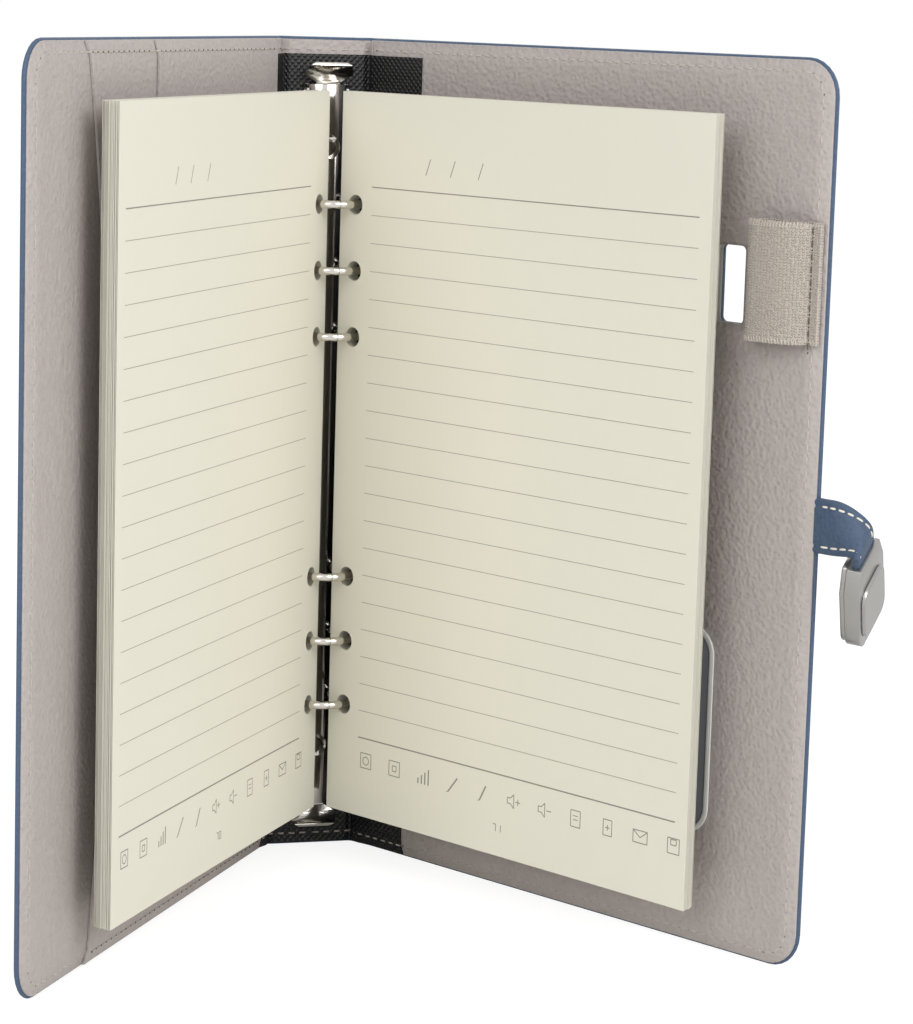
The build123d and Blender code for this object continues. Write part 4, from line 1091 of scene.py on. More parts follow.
@dataclass(frozen=True)
class OuterLeather:
    """Leather over one cover and its half of the spine, turned in at the edges over the boards."""

    cover: Cover
    field: tuple[float, float, float, float]
    nodes: tuple[str, ...]
    slot_edges: tuple[float, float, float, float] | None = None
    pad_rise: float = 3.0
    pad_slope: float = 9.0
    rim: float = 1.2
    sheet: float = 1.0

    def pad(self, run: float, height: float) -> float:
        """How much of the padded field's rise there is at a place.

        Args:
            run: Distance along the cover from mid-spine.
            height: Height above the table.

        Returns:
            Share of the rise, from 0 to 1.
        """
        near, far, low, high = self.field
        reach = run - HINGE_HALF
        across = min(reach - near, far - reach) / self.pad_slope
        upward = min(height - low, high - height) / self.pad_slope
        return ease(across) * ease(upward)

    def crease(self, run: float) -> float:
        """How much of the crease's groove there is at a run."""
        return window(run, 10.2, 17.8)

    def low(self, run: float, height: float) -> float:
        """Level of the outer face.

        Args:
            run: Distance along the cover from mid-spine.
            height: Height above the table.

        Returns:
            Level of the outer face there.
        """
        ripple = noise.noise(Vector((run * 0.05 * self.cover.sign, height * 0.04, 3.0))) * 0.12
        edge = from_edge(run, height)
        ripple *= ease((edge - self.rim) / 8)
        seam = 0.22 * math.exp(-(((edge - STITCH_INSET - 0.8) / 1.0) ** 2))
        return SKIN_OUT - self.pad_rise * self.pad(
            run, height
        ) + 0.4 * self.crease(run) + ripple + seam

    def high(self, run: float, height: float) -> float:
        """Level of the inner face."""
        return self.low(run, height) + self.sheet

    def lip(self, run: float, height: float) -> float:
        """Level that the turned edge reaches, thinner where the crease has no board."""
        return BOARD_IN - 1.0 * self.crease(run) - 0.9 * ease((run - 17) / 6)

    def seam_line(self) -> list[tuple[Vector, Vector]]:
        """Line of the outer stitches round the cover.

        Returns:
            Points of the line, each with its facing.
        """
        line = []
        for run, height in rim_line(STITCH_INSET + 0.8):
            level = self.low(run, height)
            line.append((self.cover.wrap(run, height, level), -self.cover.facing(run)))
        return line

    def build(self) -> None:
        """Makes the leather and its stitches."""
        side = "front" if self.cover.sign < 0 else "back"
        draft = cover_sheet(self.cover, CoverGrid(0.0, self.rim, 3.5), self.low, self.high, self.rim,
                            self.lip, rub=0.8)
        leather = draft.make(f"{side}_leather", LEATHER, "blue_leather")
        if self.slot_edges:
            near, far, low, high = self.slot_edges
            cut(leather, prism(self.cover, near, far, low, high, 1.5, -6.0, 8.0))
        self.cover.bend(leather)
        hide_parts(*self.nodes)
        thread, hole_shade = Draft(), Draft()
        Seam().sew(thread, hole_shade, self.seam_line())
        self.cover.bend(thread.make(f"{side}_outer_stitches", THREAD, "blue_leather"))
        # Dark discs of painted shade in the needle holes
        self.cover.bend(hole_shade.make(f"{side}_outer_needle_hole_shade", NEEDLE_HOLE_SHADE, "blue_leather"))


def rim_line(inset: float, start: float = 0.4) -> list[Place]:
    """Line round a cover at an inset from its edge, from the spine's middle and back to it.

    Args:
        inset: Distance from the edge.
        start: Run where it starts.

    Returns:
        Places as run and height, from the bottom edge round the fore-edge to the top edge.
    """
    corner = CORNER_RADIUS - inset
    runs = [start + step * 1.5 for step in range(int((RUN_END - CORNER_RADIUS - start) / 1.5))]
    low = [(run, inset) for run in runs]
    turns = [math.pi / 2 * step / 8 for step in range(9)]
    round_low = [
        (RUN_END - CORNER_RADIUS + corner * math.sin(turn), CORNER_RADIUS - corner * math.cos(turn))
        for turn in turns
    ]
    half = low + round_low
    up = [(run, BOOK_HEIGHT - height) for run, height in reversed(half)]
    edge_steps = int((BOOK_HEIGHT - 2 * CORNER_RADIUS) / 4)
    edge = [
        (RUN_END - inset, CORNER_RADIUS + (BOOK_HEIGHT - 2 * CORNER_RADIUS) * step / edge_steps)
        for step in range(1, edge_steps)
    ]
    return half + edge + up


@dataclass(frozen=True)
class Board:
    """Grey board of one cover, rolled thin along the sewn edges."""

    cover: Cover
    node: str
    cuts: tuple[tuple[float, float, float, float, float], ...] = ()

    def top(self, run: float, height: float) -> float:
        """Level of the board's inner face."""
        return BOARD_IN - 0.06 - pinch(run, height)

    def build(self) -> None:
        """Makes the board with its cut-outs."""
        grid = CoverGrid(HINGE_HALF + 3.5, 1.2, 6.0)
        board = cover_sheet(self.cover, grid, lambda r, h: SKIN_IN + 0.02, self.top, 0.1).make(
            f"{self.node}_sheet", BOARD, "grey_board"
        )
        for near, far, low, high, corner in self.cuts:
            cut(board, prism(self.cover, near, far, low, high, corner, -4.0, 8.0))
        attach(board, self.cover.body)
        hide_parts(self.node)


@dataclass(frozen=True)
class InnerLayers:
    """Lining, vinyl strip, hem and inner stitches of one cover and its half of the spine."""

    cover: Cover
    vinyl_end: float
    nodes: tuple[str, ...]
    vinyl_nodes: tuple[str, ...]
    hem_nodes: tuple[str, ...]
    cuts: tuple[tuple[float, float, float, float, float], ...] = ()
    over: tuple["Pocket", ...] = ()
    vinyl: float = 0.5
    sheet: float = 0.6

    def dip(self, run: float) -> float:
        """How much of the crease's dip there is at a run."""
        return window(run, 11.0, 17.4)

    def lining_top(self, run: float, height: float) -> float:
        """Level of the lining's face, drawn down a little by its stitches.

        Args:
            run: Distance along the cover from mid-spine.
            height: Height above the table.

        Returns:
            Level of the lining's face there.
        """
        edge = from_edge(run, height)
        pull = 0.14 * math.exp(-(((edge - STITCH_INSET) / 0.9) ** 2))
        swell = 0.1 * noise.noise(Vector((run * 0.06, height * 0.05, 7.0 * self.cover.sign)))
        top = LINING_IN - pull + swell * ease((edge - 4) / 10)
        return top - 1.1 * self.dip(run) - pinch(run, height)

    def strip_top(self, run: float, height: float) -> float:
        """Level of the face of the strip over spine and crease."""
        on_cover = ease((run - HINGE_HALF) / 3.4)
        return LINING_IN + self.vinyl * on_cover - 1.0 * self.dip(run) - pinch(run, height)

    def lining(self, side: str) -> None:
        """Makes the lining sheet with its cut-outs.

        Args:
            side: Side of the book, which starts the piece's name.
        """
        grid = CoverGrid(HINGE_HALF + 1.4, LINING_INSET, 3.0)
        draft = cover_sheet(
            self.cover, grid, lambda r, h: self.lining_top(r, h) - self.sheet, self.lining_top, 0.14
        )
        lining = draft.make(f"{side}_lining_sheet", LINING, "taupe_lining")
        for near, far, low, high, corner in self.cuts:
            cut(lining, prism(self.cover, near, far, low, high, corner, -4.0, 8.0))
        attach(lining, self.cover.body)
        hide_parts(*self.nodes)

    def strip(self, name: str, finish: Finish, slot: str, end: float, low: float, high: float,
              crumple: float) -> bpy.types.Object:
        """Makes a strip that covers half of the spine, the crease and a little of the cover.

        Args:
            name: Name of the piece.
            finish: Its finish.
            slot: The record's material slot.
            end: Run where it ends.
            low: Its lower height.
            high: Its upper height.
            crumple: Height of the wrinkles in the crease.

        Returns:
            The strip.
        """
        runs = [0.0, 2.0, 4.0, 6.0, 8.0]
        place = 9.5
        while place < min(end - 0.3, 19.0):
            runs.append(place)
            place += 0.5
        while place < end - 0.5:
            runs.append(place)
            place += 2.5
        runs.append(end)
        count = max(2, math.ceil((high - low) / 3.0))
        heights = [low + (high - low) * step / count for step in range(count + 1)]
        draft = Draft()
        layers = []
        for shift in (0.0, -self.vinyl):
            rows = []
            for height in heights:
                places = []
                for run in runs:
                    fold = noise.noise(Vector((run * 0.5, height * 0.35, 2.0 * self.cover.sign)))
                    level = self.strip_top(run, height) + crumple * fold * window(run, 9.0, 19.0)
                    places.append(self.cover.wrap(run, height, level + shift))
                rows.append(draft.row(places, [(run, height) for run in runs]))
            for first, second in zip(rows, rows[1:]):
                draft.join(first, second)
            layers.append(rows)
        upper, lower = layers
        last = len(runs) - 1
        border = [(0, column) for column in range(last)] + [(row, last) for row in range(count)]
        border += [
            (count, column) for column in range(last, 0, -1)
        ] + [(row, 0) for row in range(count, 0, -1)]
        draft.join([upper[r][c] for r, c in border], [lower[r][c] for r, c in border], closed=True)
        strip = draft.make(name, finish, slot)
        self.cover.bend(strip)
        return strip

    def stitches(self, side: str) -> None:
        """Sews the row round the inside of the cover.

        Args:
            side: Side of the book, which starts the piece's name.
        """
        line = []
        for run, height in rim_line(STITCH_INSET):
            over_strip = run < HINGE_HALF + self.vinyl_end and not 6.0 < height < VINYL_TOP
            strip = height < VINYL_TOP or run < HINGE_HALF + 3.4
            level = self.strip_top(
                run, height
            ) if over_strip and strip else self.lining_top(run, height)
            for pocket in self.over:
                level = max(level, pocket.cover_level(run - HINGE_HALF, height))
            line.append((self.cover.wrap(run, height, level - 0.06), self.cover.facing(run)))
        thread, hole_shade = Draft(), Draft()
        Seam(radius=0.27, gap=1.1).sew(thread, hole_shade, line)
        self.cover.bend(thread.make(f"{side}_inner_stitches", LINING_THREAD, "taupe_lining"))
        # Dark discs of painted shade in the needle holes
        self.cover.bend(hole_shade.make(f"{side}_inner_needle_hole_shade", NEEDLE_HOLE_SHADE, "taupe_lining"))

    def build(self) -> None:
        """Makes all layers."""
        side = "front" if self.cover.sign < 0 else "back"
        self.lining(side)
        vinyl = self.strip(f"{side}_vinyl_strip", VINYL, "black_vinyl", HINGE_HALF + self.vinyl_end,
                           LINING_INSET, VINYL_TOP, 0.12)
        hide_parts(*self.vinyl_nodes)
        hem = self.strip(f"{side}_top_hem", LINING, "taupe_lining", HINGE_HALF + 3.2, VINYL_TOP + 0.1,
                         LINING_TOP, 0.4)
        if self.hem_nodes:
            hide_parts(*self.hem_nodes)
        self.stitches(side)


@dataclass(frozen=True)
class Pocket:
    """A soft pocket panel on the front cover with a folded free edge."""

    name: str
    node: str
    start: float
    low: float
    top: float
    level: float
    sheet: float
    edge: tuple[float, float, float]
    belly: float
    hem: float = 3.0

    def far(self, height: float) -> float:
        """Reach of the free edge at a height, a shallow curve through three points.

        Args:
            height: Height above the table.

        Returns:
            Reach of the free edge there.
        """
        share = (height - self.low) / (self.top - self.low)
        bottom, middle, top = self.edge
        return bottom * (1 - share) * (
            1 - 2 * share
        ) + 4 * middle * share * (1 - share) + top * share * (2 * share - 1)

    def face(self, reach: float, height: float) -> float:
        """Level of the panel's face.

        Args:
            reach: Distance from the crease.
            height: Height above the table.

        Returns:
            Level of the face there.
        """
        inside = self.far(height) - reach
        rolled = 0.18 * window(inside, -0.6, self.hem)
        middle = window(height, self.low, self.top) * ease((reach - self.start) / 40)
        ripple = 0.12 * noise.noise(Vector((reach * 0.06, height * 0.04, self.level)))
        swell = rolled + (self.belly + ripple) * middle
        return self.level + self.sheet + swell - pinch(reach + HINGE_HALF, height)

    def cover_level(self, reach: float, height: float) -> float:
        """Level of the panel's face where the panel covers a place, or far below elsewhere.

        Args:
            reach: Distance from the crease.
            height: Height above the table.

        Returns:
            Level of the face, or far below where the panel doesn't lie.
        """
        if self.low < height < self.top and self.start < reach < self.far(height):
            return self.face(reach, height)
        return -99.0

    def build(self) -> None:
        """Makes the panel, whose edges are folded under."""
        heights = [self.low + (self.top - self.low) * step / 60 for step in range(61)]
        draft = Draft()
        layers = []
        for under in (False, True):
            rows = []
            for height in heights:
                places = []
                flats = []
                far = self.far(height)
                for step in range(49):
                    share = 1 - (1 - step / 48) ** 1.6
                    reach = self.start + (far - self.start) * share
                    level = self.face(reach, height)
                    level = level - self.sheet * 0.9 if under else level
                    places.append(FRONT.at(reach, height, level))
                    flats.append((reach, height))
                rows.append(draft.row(places, flats))
            for first, second in zip(rows, rows[1:]):
                draft.join(first, second)
            layers.append(rows)
        upper, lower = layers
        border = [(0, c) for c in range(48)] + [(r, 48) for r in range(60)]
        border += [(60, c) for c in range(48, 0, -1)] + [(r, 0) for r in range(60, 0, -1)]
        draft.join([upper[r][c] for r, c in border], [lower[r][c] for r, c in border], closed=True)
        # The pocket's leathercloth is the lining's, drawn a shade lighter as painted light
        panel = draft.make(f"{self.name}_panel", POCKET_PAINTED_LIGHTER, "pocket_lining")
        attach(panel, FRONT.body)
        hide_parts(self.node)


# Rings


@dataclass(frozen=True)
class RingHalves:
    """The six wire half rings of one side, riveted to one blade."""

    sign: int
    body: str
    node: str
    wire: float = 2.4
    tip_gap: float = 0.1
    entry: float = 4.7
    leg_bend: float = 2.0
    blade_front: float = -3.85
    sides: int = 18

    def line(self) -> list[tuple[Vector, Vector]]:
        """Middle line of the wire from its tip to the blade, with the way outwards at each point.

        Returns:
            Points of the line, each with its way outwards.
        """
        tip = math.asin(self.tip_gap / 2 / RING_RADIUS)
        entry = math.acos(self.entry / RING_RADIUS)
        end = math.pi / 2 + entry
        found = []
        for step in range(29):
            turn = tip + (end - tip) * step / 28
            way = Vector((self.sign * math.sin(turn), -math.cos(turn), 0))
            found.append((Vector((0, RING_Y, 0)) + way * RING_RADIUS, way))
        middle = Vector((
            self.sign * (self.entry + self.leg_bend * math.cos(entry)),
            RING_Y + (RING_RADIUS + self.leg_bend) * math.sin(entry), 0
        ))
        for step in range(1, 7):
            turn = entry * (1 - step / 6)
            way = Vector((self.sign * math.cos(turn), math.sin(turn), 0))
            found.append((middle - way * self.leg_bend, way))
        last = found[-1][0]
        found.append((Vector((last.x, self.blade_front, 0)), found[-1][1]))
        return found

    def build(self) -> None:
        """Makes the six half rings."""
        draft = Draft()
        line = self.line()
        for height in RING_HEIGHTS:
            rings = []
            for index, (point, out) in enumerate(line):
                size = 0.9 if index == 0 else 1.0
                rings.append([
                    point + Vector((0, 0, height)) + (
                        out * math.cos(turn) + Vector((0, 0, 1)) * math.sin(turn)
                    )
                    * (self.wire / 2 * size)
                    for turn in (2 * math.pi * step / self.sides for step in range(self.sides))
                ])
            draft.tube(rings)
        halves = draft.make(f"{self.node}_wire", NICKEL, "nickel", sharp=50.0)
        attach(halves, self.body)
        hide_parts(self.node)


@dataclass(frozen=True)
class RingMechanism:
    """Ring case, blades, levers, pins and rivets."""

    def build(self) -> None:
        """Makes the rings and rounds the edges of the metal parts."""
        RingHalves(-1, "ring_left", "ring_halves_left").build()
        RingHalves(1, "ring_right", "ring_halves_right").build()
        rounded("ring_case", NICKEL, "nickel", 0.12)
        rounded("case_rivets", NICKEL, "nickel", 0.22, 3)
        for node in ("lever_top", "lever_bottom"):
            rounded(node, NICKEL, "nickel", 0.22, 3, 25.0)


# Leaves


@dataclass(frozen=True)
class LeafStack:
    """The stack of punched leaves on one side."""

    sign: int
    angle: float
    body: str
    side: str
    sheets: int = 26
    first: float = 0.3
    depth: float = 5.25
    paper: float = 0.11
    width: float = 142.0
    height: float = 210.0
    margin: float = 6.0
    play: float = 0.3
    hole: float = 5.8
    twist: float = 0.0

    @property
    def along(self) -> Vector:
        """Way from the rings to the fore-edge."""
        turn = math.radians(self.angle)
        return Vector((self.sign * math.sin(turn), -math.cos(turn), 0))

    @property
    def behind(self) -> Vector:
        """Way from the front leaf to the cover."""
        turn = math.radians(self.angle)
        return Vector((self.sign * math.cos(turn), math.sin(turn), 0))

    def inner(self, offset: float) -> float:
        """Reach of a leaf's inner edge, which follows the round of the rings."""
        return math.sqrt(RING_RADIUS**2 - offset**2) - self.margin

    def sway(self, reach: float, height: float) -> float:
        """How far the leaves bow towards the cover at a place.

        Args:
            reach: Distance from the rings.
            height: Height above the table.

        Returns:
            Distance that the place lies further back.
        """
        across = max(0.0, reach - self.inner(0)) / self.width
        up = (height - 15) / self.height
        bow = 0.35 * math.sin(math.pi * min(across, 1.0))
        return bow + self.twist * across**1.3 * ease(up)

    def at(self, reach: float, height: float, offset: float) -> Vector:
        """Point of a leaf."""
        return Vector((0, RING_Y, height)) + self.along * reach + self.behind * (
            offset + self.sway(reach, height)
        )

    def band(self, draft: Draft, start: float, offset: float) -> list[list[int]]:
        """Adds the punched band of one face of a leaf.

        Args:
            draft: Draft of the stack.
            start: Reach of the leaf's inner edge.
            offset: How far behind the front the face lies.

        Returns:
            The band's two long borders, inner and outer, and the ring of each hole.
        """
        middle = start + self.margin + self.play
        half = 5.6
        low = 15.0
        heights = [low]
        inner, outer, rings = [], [], []
        for hole in RING_HEIGHTS:
            heights += [hole - half, hole, hole + half]
        heights.append(low + self.height)
        extended = []
        for here, onward in zip(heights, heights[1:]):
            pieces = max(1, round((onward - here) / 14))
            extended += [here + (onward - here) * step / pieces for step in range(pieces)]
        extended.append(heights[-1])
        edge_in = draft.row(
            [self.at(start, h, offset) for h in extended], [(start, h) for h in extended]
        )
        end = middle + half
        edge_out = draft.row(
            [self.at(end, h, offset) for h in extended], [(end, h) for h in extended]
        )
        for index, (here, onward) in enumerate(zip(extended, extended[1:])):
            near_hole = [
                h for h in RING_HEIGHTS if here >= h - half - 0.01 and onward <= h + half + 0.01
            ]
            if not near_hole:
                draft.faces.append(
                    (edge_in[index], edge_in[index + 1], edge_out[index + 1], edge_out[index])
                )
        for hole in RING_HEIGHTS:
            ring = draft.row([
                self.at(middle + self.hole / 2 * math.cos(turn), hole + self.hole / 2 * math.sin(turn), offset)
                for turn in (math.pi / 8 * step for step in range(16))
            ])
            base = min(range(len(extended)), key=lambda n: abs(extended[n] - hole))
            in_low, in_mid, in_high = (edge_in[base + step] for step in (-1, 0, 1))
            out_low, out_mid, out_high = (edge_out[base + step] for step in (-1, 0, 1))
            draft.faces.append((out_mid, out_high, ring[2], ring[1], ring[0]))
            draft.faces.append((out_high, in_high, ring[6], ring[5], ring[4], ring[3], ring[2]))
            draft.faces.append((in_high, in_mid, ring[8], ring[7], ring[6]))
            draft.faces.append((in_mid, in_low, ring[10], ring[9], ring[8]))
            draft.faces.append((in_low, out_low, ring[14], ring[13], ring[12], ring[11], ring[10]))
            draft.faces.append((out_low, out_mid, ring[0], ring[15], ring[14]))
            rings.append(ring)
        inner.extend(edge_in)
        outer.extend(edge_out)
        return [inner, outer, *rings]

    def sheet(self, draft: Draft, offset: float, width: float, lift: float) -> None:
        """Adds one leaf.

        Args:
            draft: Draft of the stack.
            offset: How far behind the front leaf it lies.
            width: Its width.
            lift: How far its fore-edge stands off the next leaf.
        """
        start = self.inner(offset)
        faces = []
        columns = 15
        for under in (0.0, self.paper):
            band = self.band(draft, start, offset + under)
            heights = [draft.flats[number][1] for number in band[1]]
            first = draft.flats[band[1][0]][0]
            rows = [band[1]]
            for column in range(1, columns + 1):
                reach = first + (start + width - first) * column / columns
                spread = lift * ease((reach - first) / width) ** 1.5
                rows.append(draft.row(
                    [
                        self.at(reach, h, offset + under + spread) for h in heights
                    ], [(reach, h) for h in heights]
                ))
            for here, onward in zip(rows, rows[1:]):
                draft.join(here, onward)
            loop = list(band[0]) + [row[-1] for row in rows] + list(reversed(rows[-1]))[1:]
            loop += [row[0] for row in reversed(rows[:-1])]
            faces.append((loop, band[2:]))
        (upper, upper_holes), (lower, lower_holes) = faces
        draft.join(upper, lower, closed=True)
        for first_ring, second_ring in zip(upper_holes, lower_holes):
            draft.join(first_ring, second_ring, closed=True)

    def build(self) -> None:
        """Makes the stack."""
        dice = random.Random(11 + self.sign)
        draft = Draft()
        for number in range(self.sheets):
            offset = self.first + self.depth * number / (self.sheets - 1) - (
                self.paper if number else 0.0
            )
            late = max(0, number - self.sheets + 5) / 4
            width = self.width - (0.0 if number == 0 else dice.uniform(0.0, 0.5))
            self.sheet(draft, offset, width, 0.25 * late * late + dice.uniform(0, 0.03))
        stack = draft.make(f"{self.side}_leaf_stack", PAPER, "paper", sharp=30.0)
        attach(stack, self.body)
        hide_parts(*[f"{self.side}_leaves_{block + 1}" for block in range(4)])


LEFT_LEAVES = LeafStack(-1, 34.7, "left_pages", "left", twist=0.4)
RIGHT_LEAVES = LeafStack(1, 28.2, "right_pages", "right")


@dataclass
class PagePrint:
    """Printing on the front page of a stack: rules, date strokes, small signs and a number.

    Places on the page count from its left edge and its bottom edge as the reader sees them.
    """

    leaves: LeafStack
    number: str
    draft: Draft = field(default_factory=Draft)
    top_rule: float = 183.4
    foot_rule: float = 23.4
    rule_pitch: float = 8.0
    rule_margin: float = 13.0
    sign_height: float = 16.8
    ink: float = 0.02

    def at(self, across: float, up: float) -> Vector:
        """Point just in front of the page.

        Args:
            across: Distance from the page's left edge.
            up: Distance from its bottom edge.

        Returns:
            The point.
        """
        leaves = self.leaves
        reach = across if leaves.sign > 0 else leaves.width - across
        return leaves.at(leaves.inner(leaves.first) + reach, 15 + up, leaves.first - self.ink)

    def stroke(self, places: list[Place], width: float) -> None:
        """Draws a line of ink through places.

        Args:
            places: Places that the line runs through.
            width: Width of the line.
        """
        back = self.leaves.behind * (self.ink * 0.9)
        for (x1, y1), (x2, y2) in zip(places, places[1:]):
            way = Vector((x2 - x1, y2 - y1))
            side = Vector((-way.y, way.x)).normalized() * (width / 2)
            pieces = max(1, round(way.length / 9))
            rows = []
            for step in range(pieces + 1):
                x = x1 + way.x * step / pieces
                y = y1 + way.y * step / pieces
                left, right = self.at(x + side.x, y + side.y), self.at(x - side.x, y - side.y)
                rows.append([left, right, right + back, left + back])
            self.draft.tube(rows)

    def loop(self, places: list[Place], width: float) -> None:
        """Draws a closed line of ink."""
        self.stroke([*places, places[0]], width)

    def box(self, across: float, up: float, wide: float, high: float, width: float = 0.28) -> None:
        """Draws a rectangle round a place."""
        x, y = wide / 2, high / 2
        self.loop([(across - x, up - y), (across + x, up - y), (across + x, up + y), (across - x, up + y)], width)

    def disc(self, across: float, up: float, radius: float, width: float = 0.28) -> None:
        """Draws a circle round a place."""
        turns = [2 * math.pi * step / 16 for step in range(16)]
        self.loop(
            [(across + radius * math.cos(t), up + radius * math.sin(t)) for t in turns], width
        )

    def rules(self) -> None:
        """Draws the header rule, the writing lines and the heavier foot rule."""
        left, right = self.rule_margin, self.leaves.width - 4.3
        if self.leaves.sign < 0:
            left, right = 4.3, self.leaves.width - self.rule_margin
        self.stroke([(left, self.top_rule), (right, self.top_rule)], 0.32)
        self.stroke([(left, self.foot_rule), (right, self.foot_rule)], 0.4)
        up = self.top_rule - self.rule_pitch
        while up > self.foot_rule + 3:
            self.stroke([(left, up), (right, up)], 0.16)
            up -= self.rule_pitch

    def date_strokes(self) -> None:
        """Draws the three slanted strokes of the date line."""
        for across in (35.8, 45.6, 56.6):
            self.stroke([(across - 0.9, 188.0), (across + 0.9, 192.6)], 0.3)

    def signs(self) -> None:
        """Draws the row of small plain signs over the foot."""
        first = 16.5 if self.leaves.sign > 0 else 8.0
        y = self.sign_height
        places = [first + step * 12.1 for step in range(11)]
        self.box(places[0], y, 4.4, 4.4)
        self.disc(places[0], y, 1.2)
        self.box(places[1], y, 4.4, 4.4)
        self.box(places[1], y, 1.6, 1.6)
        for step, high in enumerate((1.6, 2.6, 3.6, 4.6)):
            self.stroke([(places[2] - 2.1 + step * 1.4, y - 2.2), (places[2] - 2.1 + step * 1.4, y - 2.2 + high)], 0.5)
        for number, slant in ((3, 1.8), (4, 1.2)):
            self.stroke([(places[number] - slant, y - 2.2), (places[number] + slant, y + 2.2)], 0.5)
            self.stroke(
                [(places[number] - slant - 0.7, y - 2.4), (places[number] - slant, y - 2.2)], 0.25
            )
        for number in (5, 6):
            x = places[number]
            self.loop([(x - 2.2, y - 0.8), (x - 1.0, y - 0.8), (x + 0.3, y - 2.0), (x + 0.3, y + 2.0),
                       (x - 1.0, y + 0.8), (x - 2.2, y + 0.8)], 0.28)
            self.stroke([(x + 1.0, y), (x + 2.8, y)], 0.28)
        self.stroke([(places[5] + 1.9, y - 0.9), (places[5] + 1.9, y + 0.9)], 0.28)
        self.box(places[7], y, 3.6, 4.6)
        self.stroke([(places[7] - 0.9, y + 0.8), (places[7] + 0.9, y + 0.8)], 0.25)
        self.stroke([(places[7] - 0.9, y - 0.3), (places[7] + 0.9, y - 0.3)], 0.25)
        self.box(places[8], y, 3.2, 4.4)
        self.stroke([(places[8] - 0.8, y), (places[8] + 0.8, y)], 0.28)
        self.stroke([(places[8], y - 0.8), (places[8], y + 0.8)], 0.28)
        self.box(places[9], y, 5.2, 3.4)
        self.stroke(
            [(places[9] - 2.5, y + 1.6), (places[9], y - 0.2), (places[9] + 2.5, y + 1.6)], 0.28
        )
        self.box(places[10], y, 4.2, 4.2)
        self.box(places[10], y + 1.0, 2.0, 1.5)

    def page_number(self) -> None:
        """Draws the page number with straight strokes."""
        bars = {
            "top": ((0, 2), (1.1, 2)), "high_right": (
                (1.1, 2), (1.1, 1)
            ), "low_right": ((1.1, 1), (1.1, 0)),
            "foot": ((0, 0), (1.1, 0)), "low_left": ((0, 1), (0, 0)), "high_left": ((0, 2), (0, 1)),
        }
        shapes = {
            "0": tuple(bars), "1": ("high_right", "low_right"), "7": (
                "top", "high_right", "low_right"
            ),
        }
        for place, digit in enumerate(self.number):
            x = self.leaves.width / 2 - 1.6 + place * 1.9
            for bar in shapes[digit]:
                (x1, y1), (x2, y2) = bars[bar]
                self.stroke([(x + x1, 7.0 + y1), (x + x2, 7.0 + y2)], 0.28)

    def build(self) -> None:
        """Makes the printing."""
        self.rules()
        self.date_strokes()
        self.signs()
        self.page_number()
        ink = self.draft.make(f"{self.leaves.side}_page_print", INK, "paper")
        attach(ink, self.leaves.body)


# Pen loop


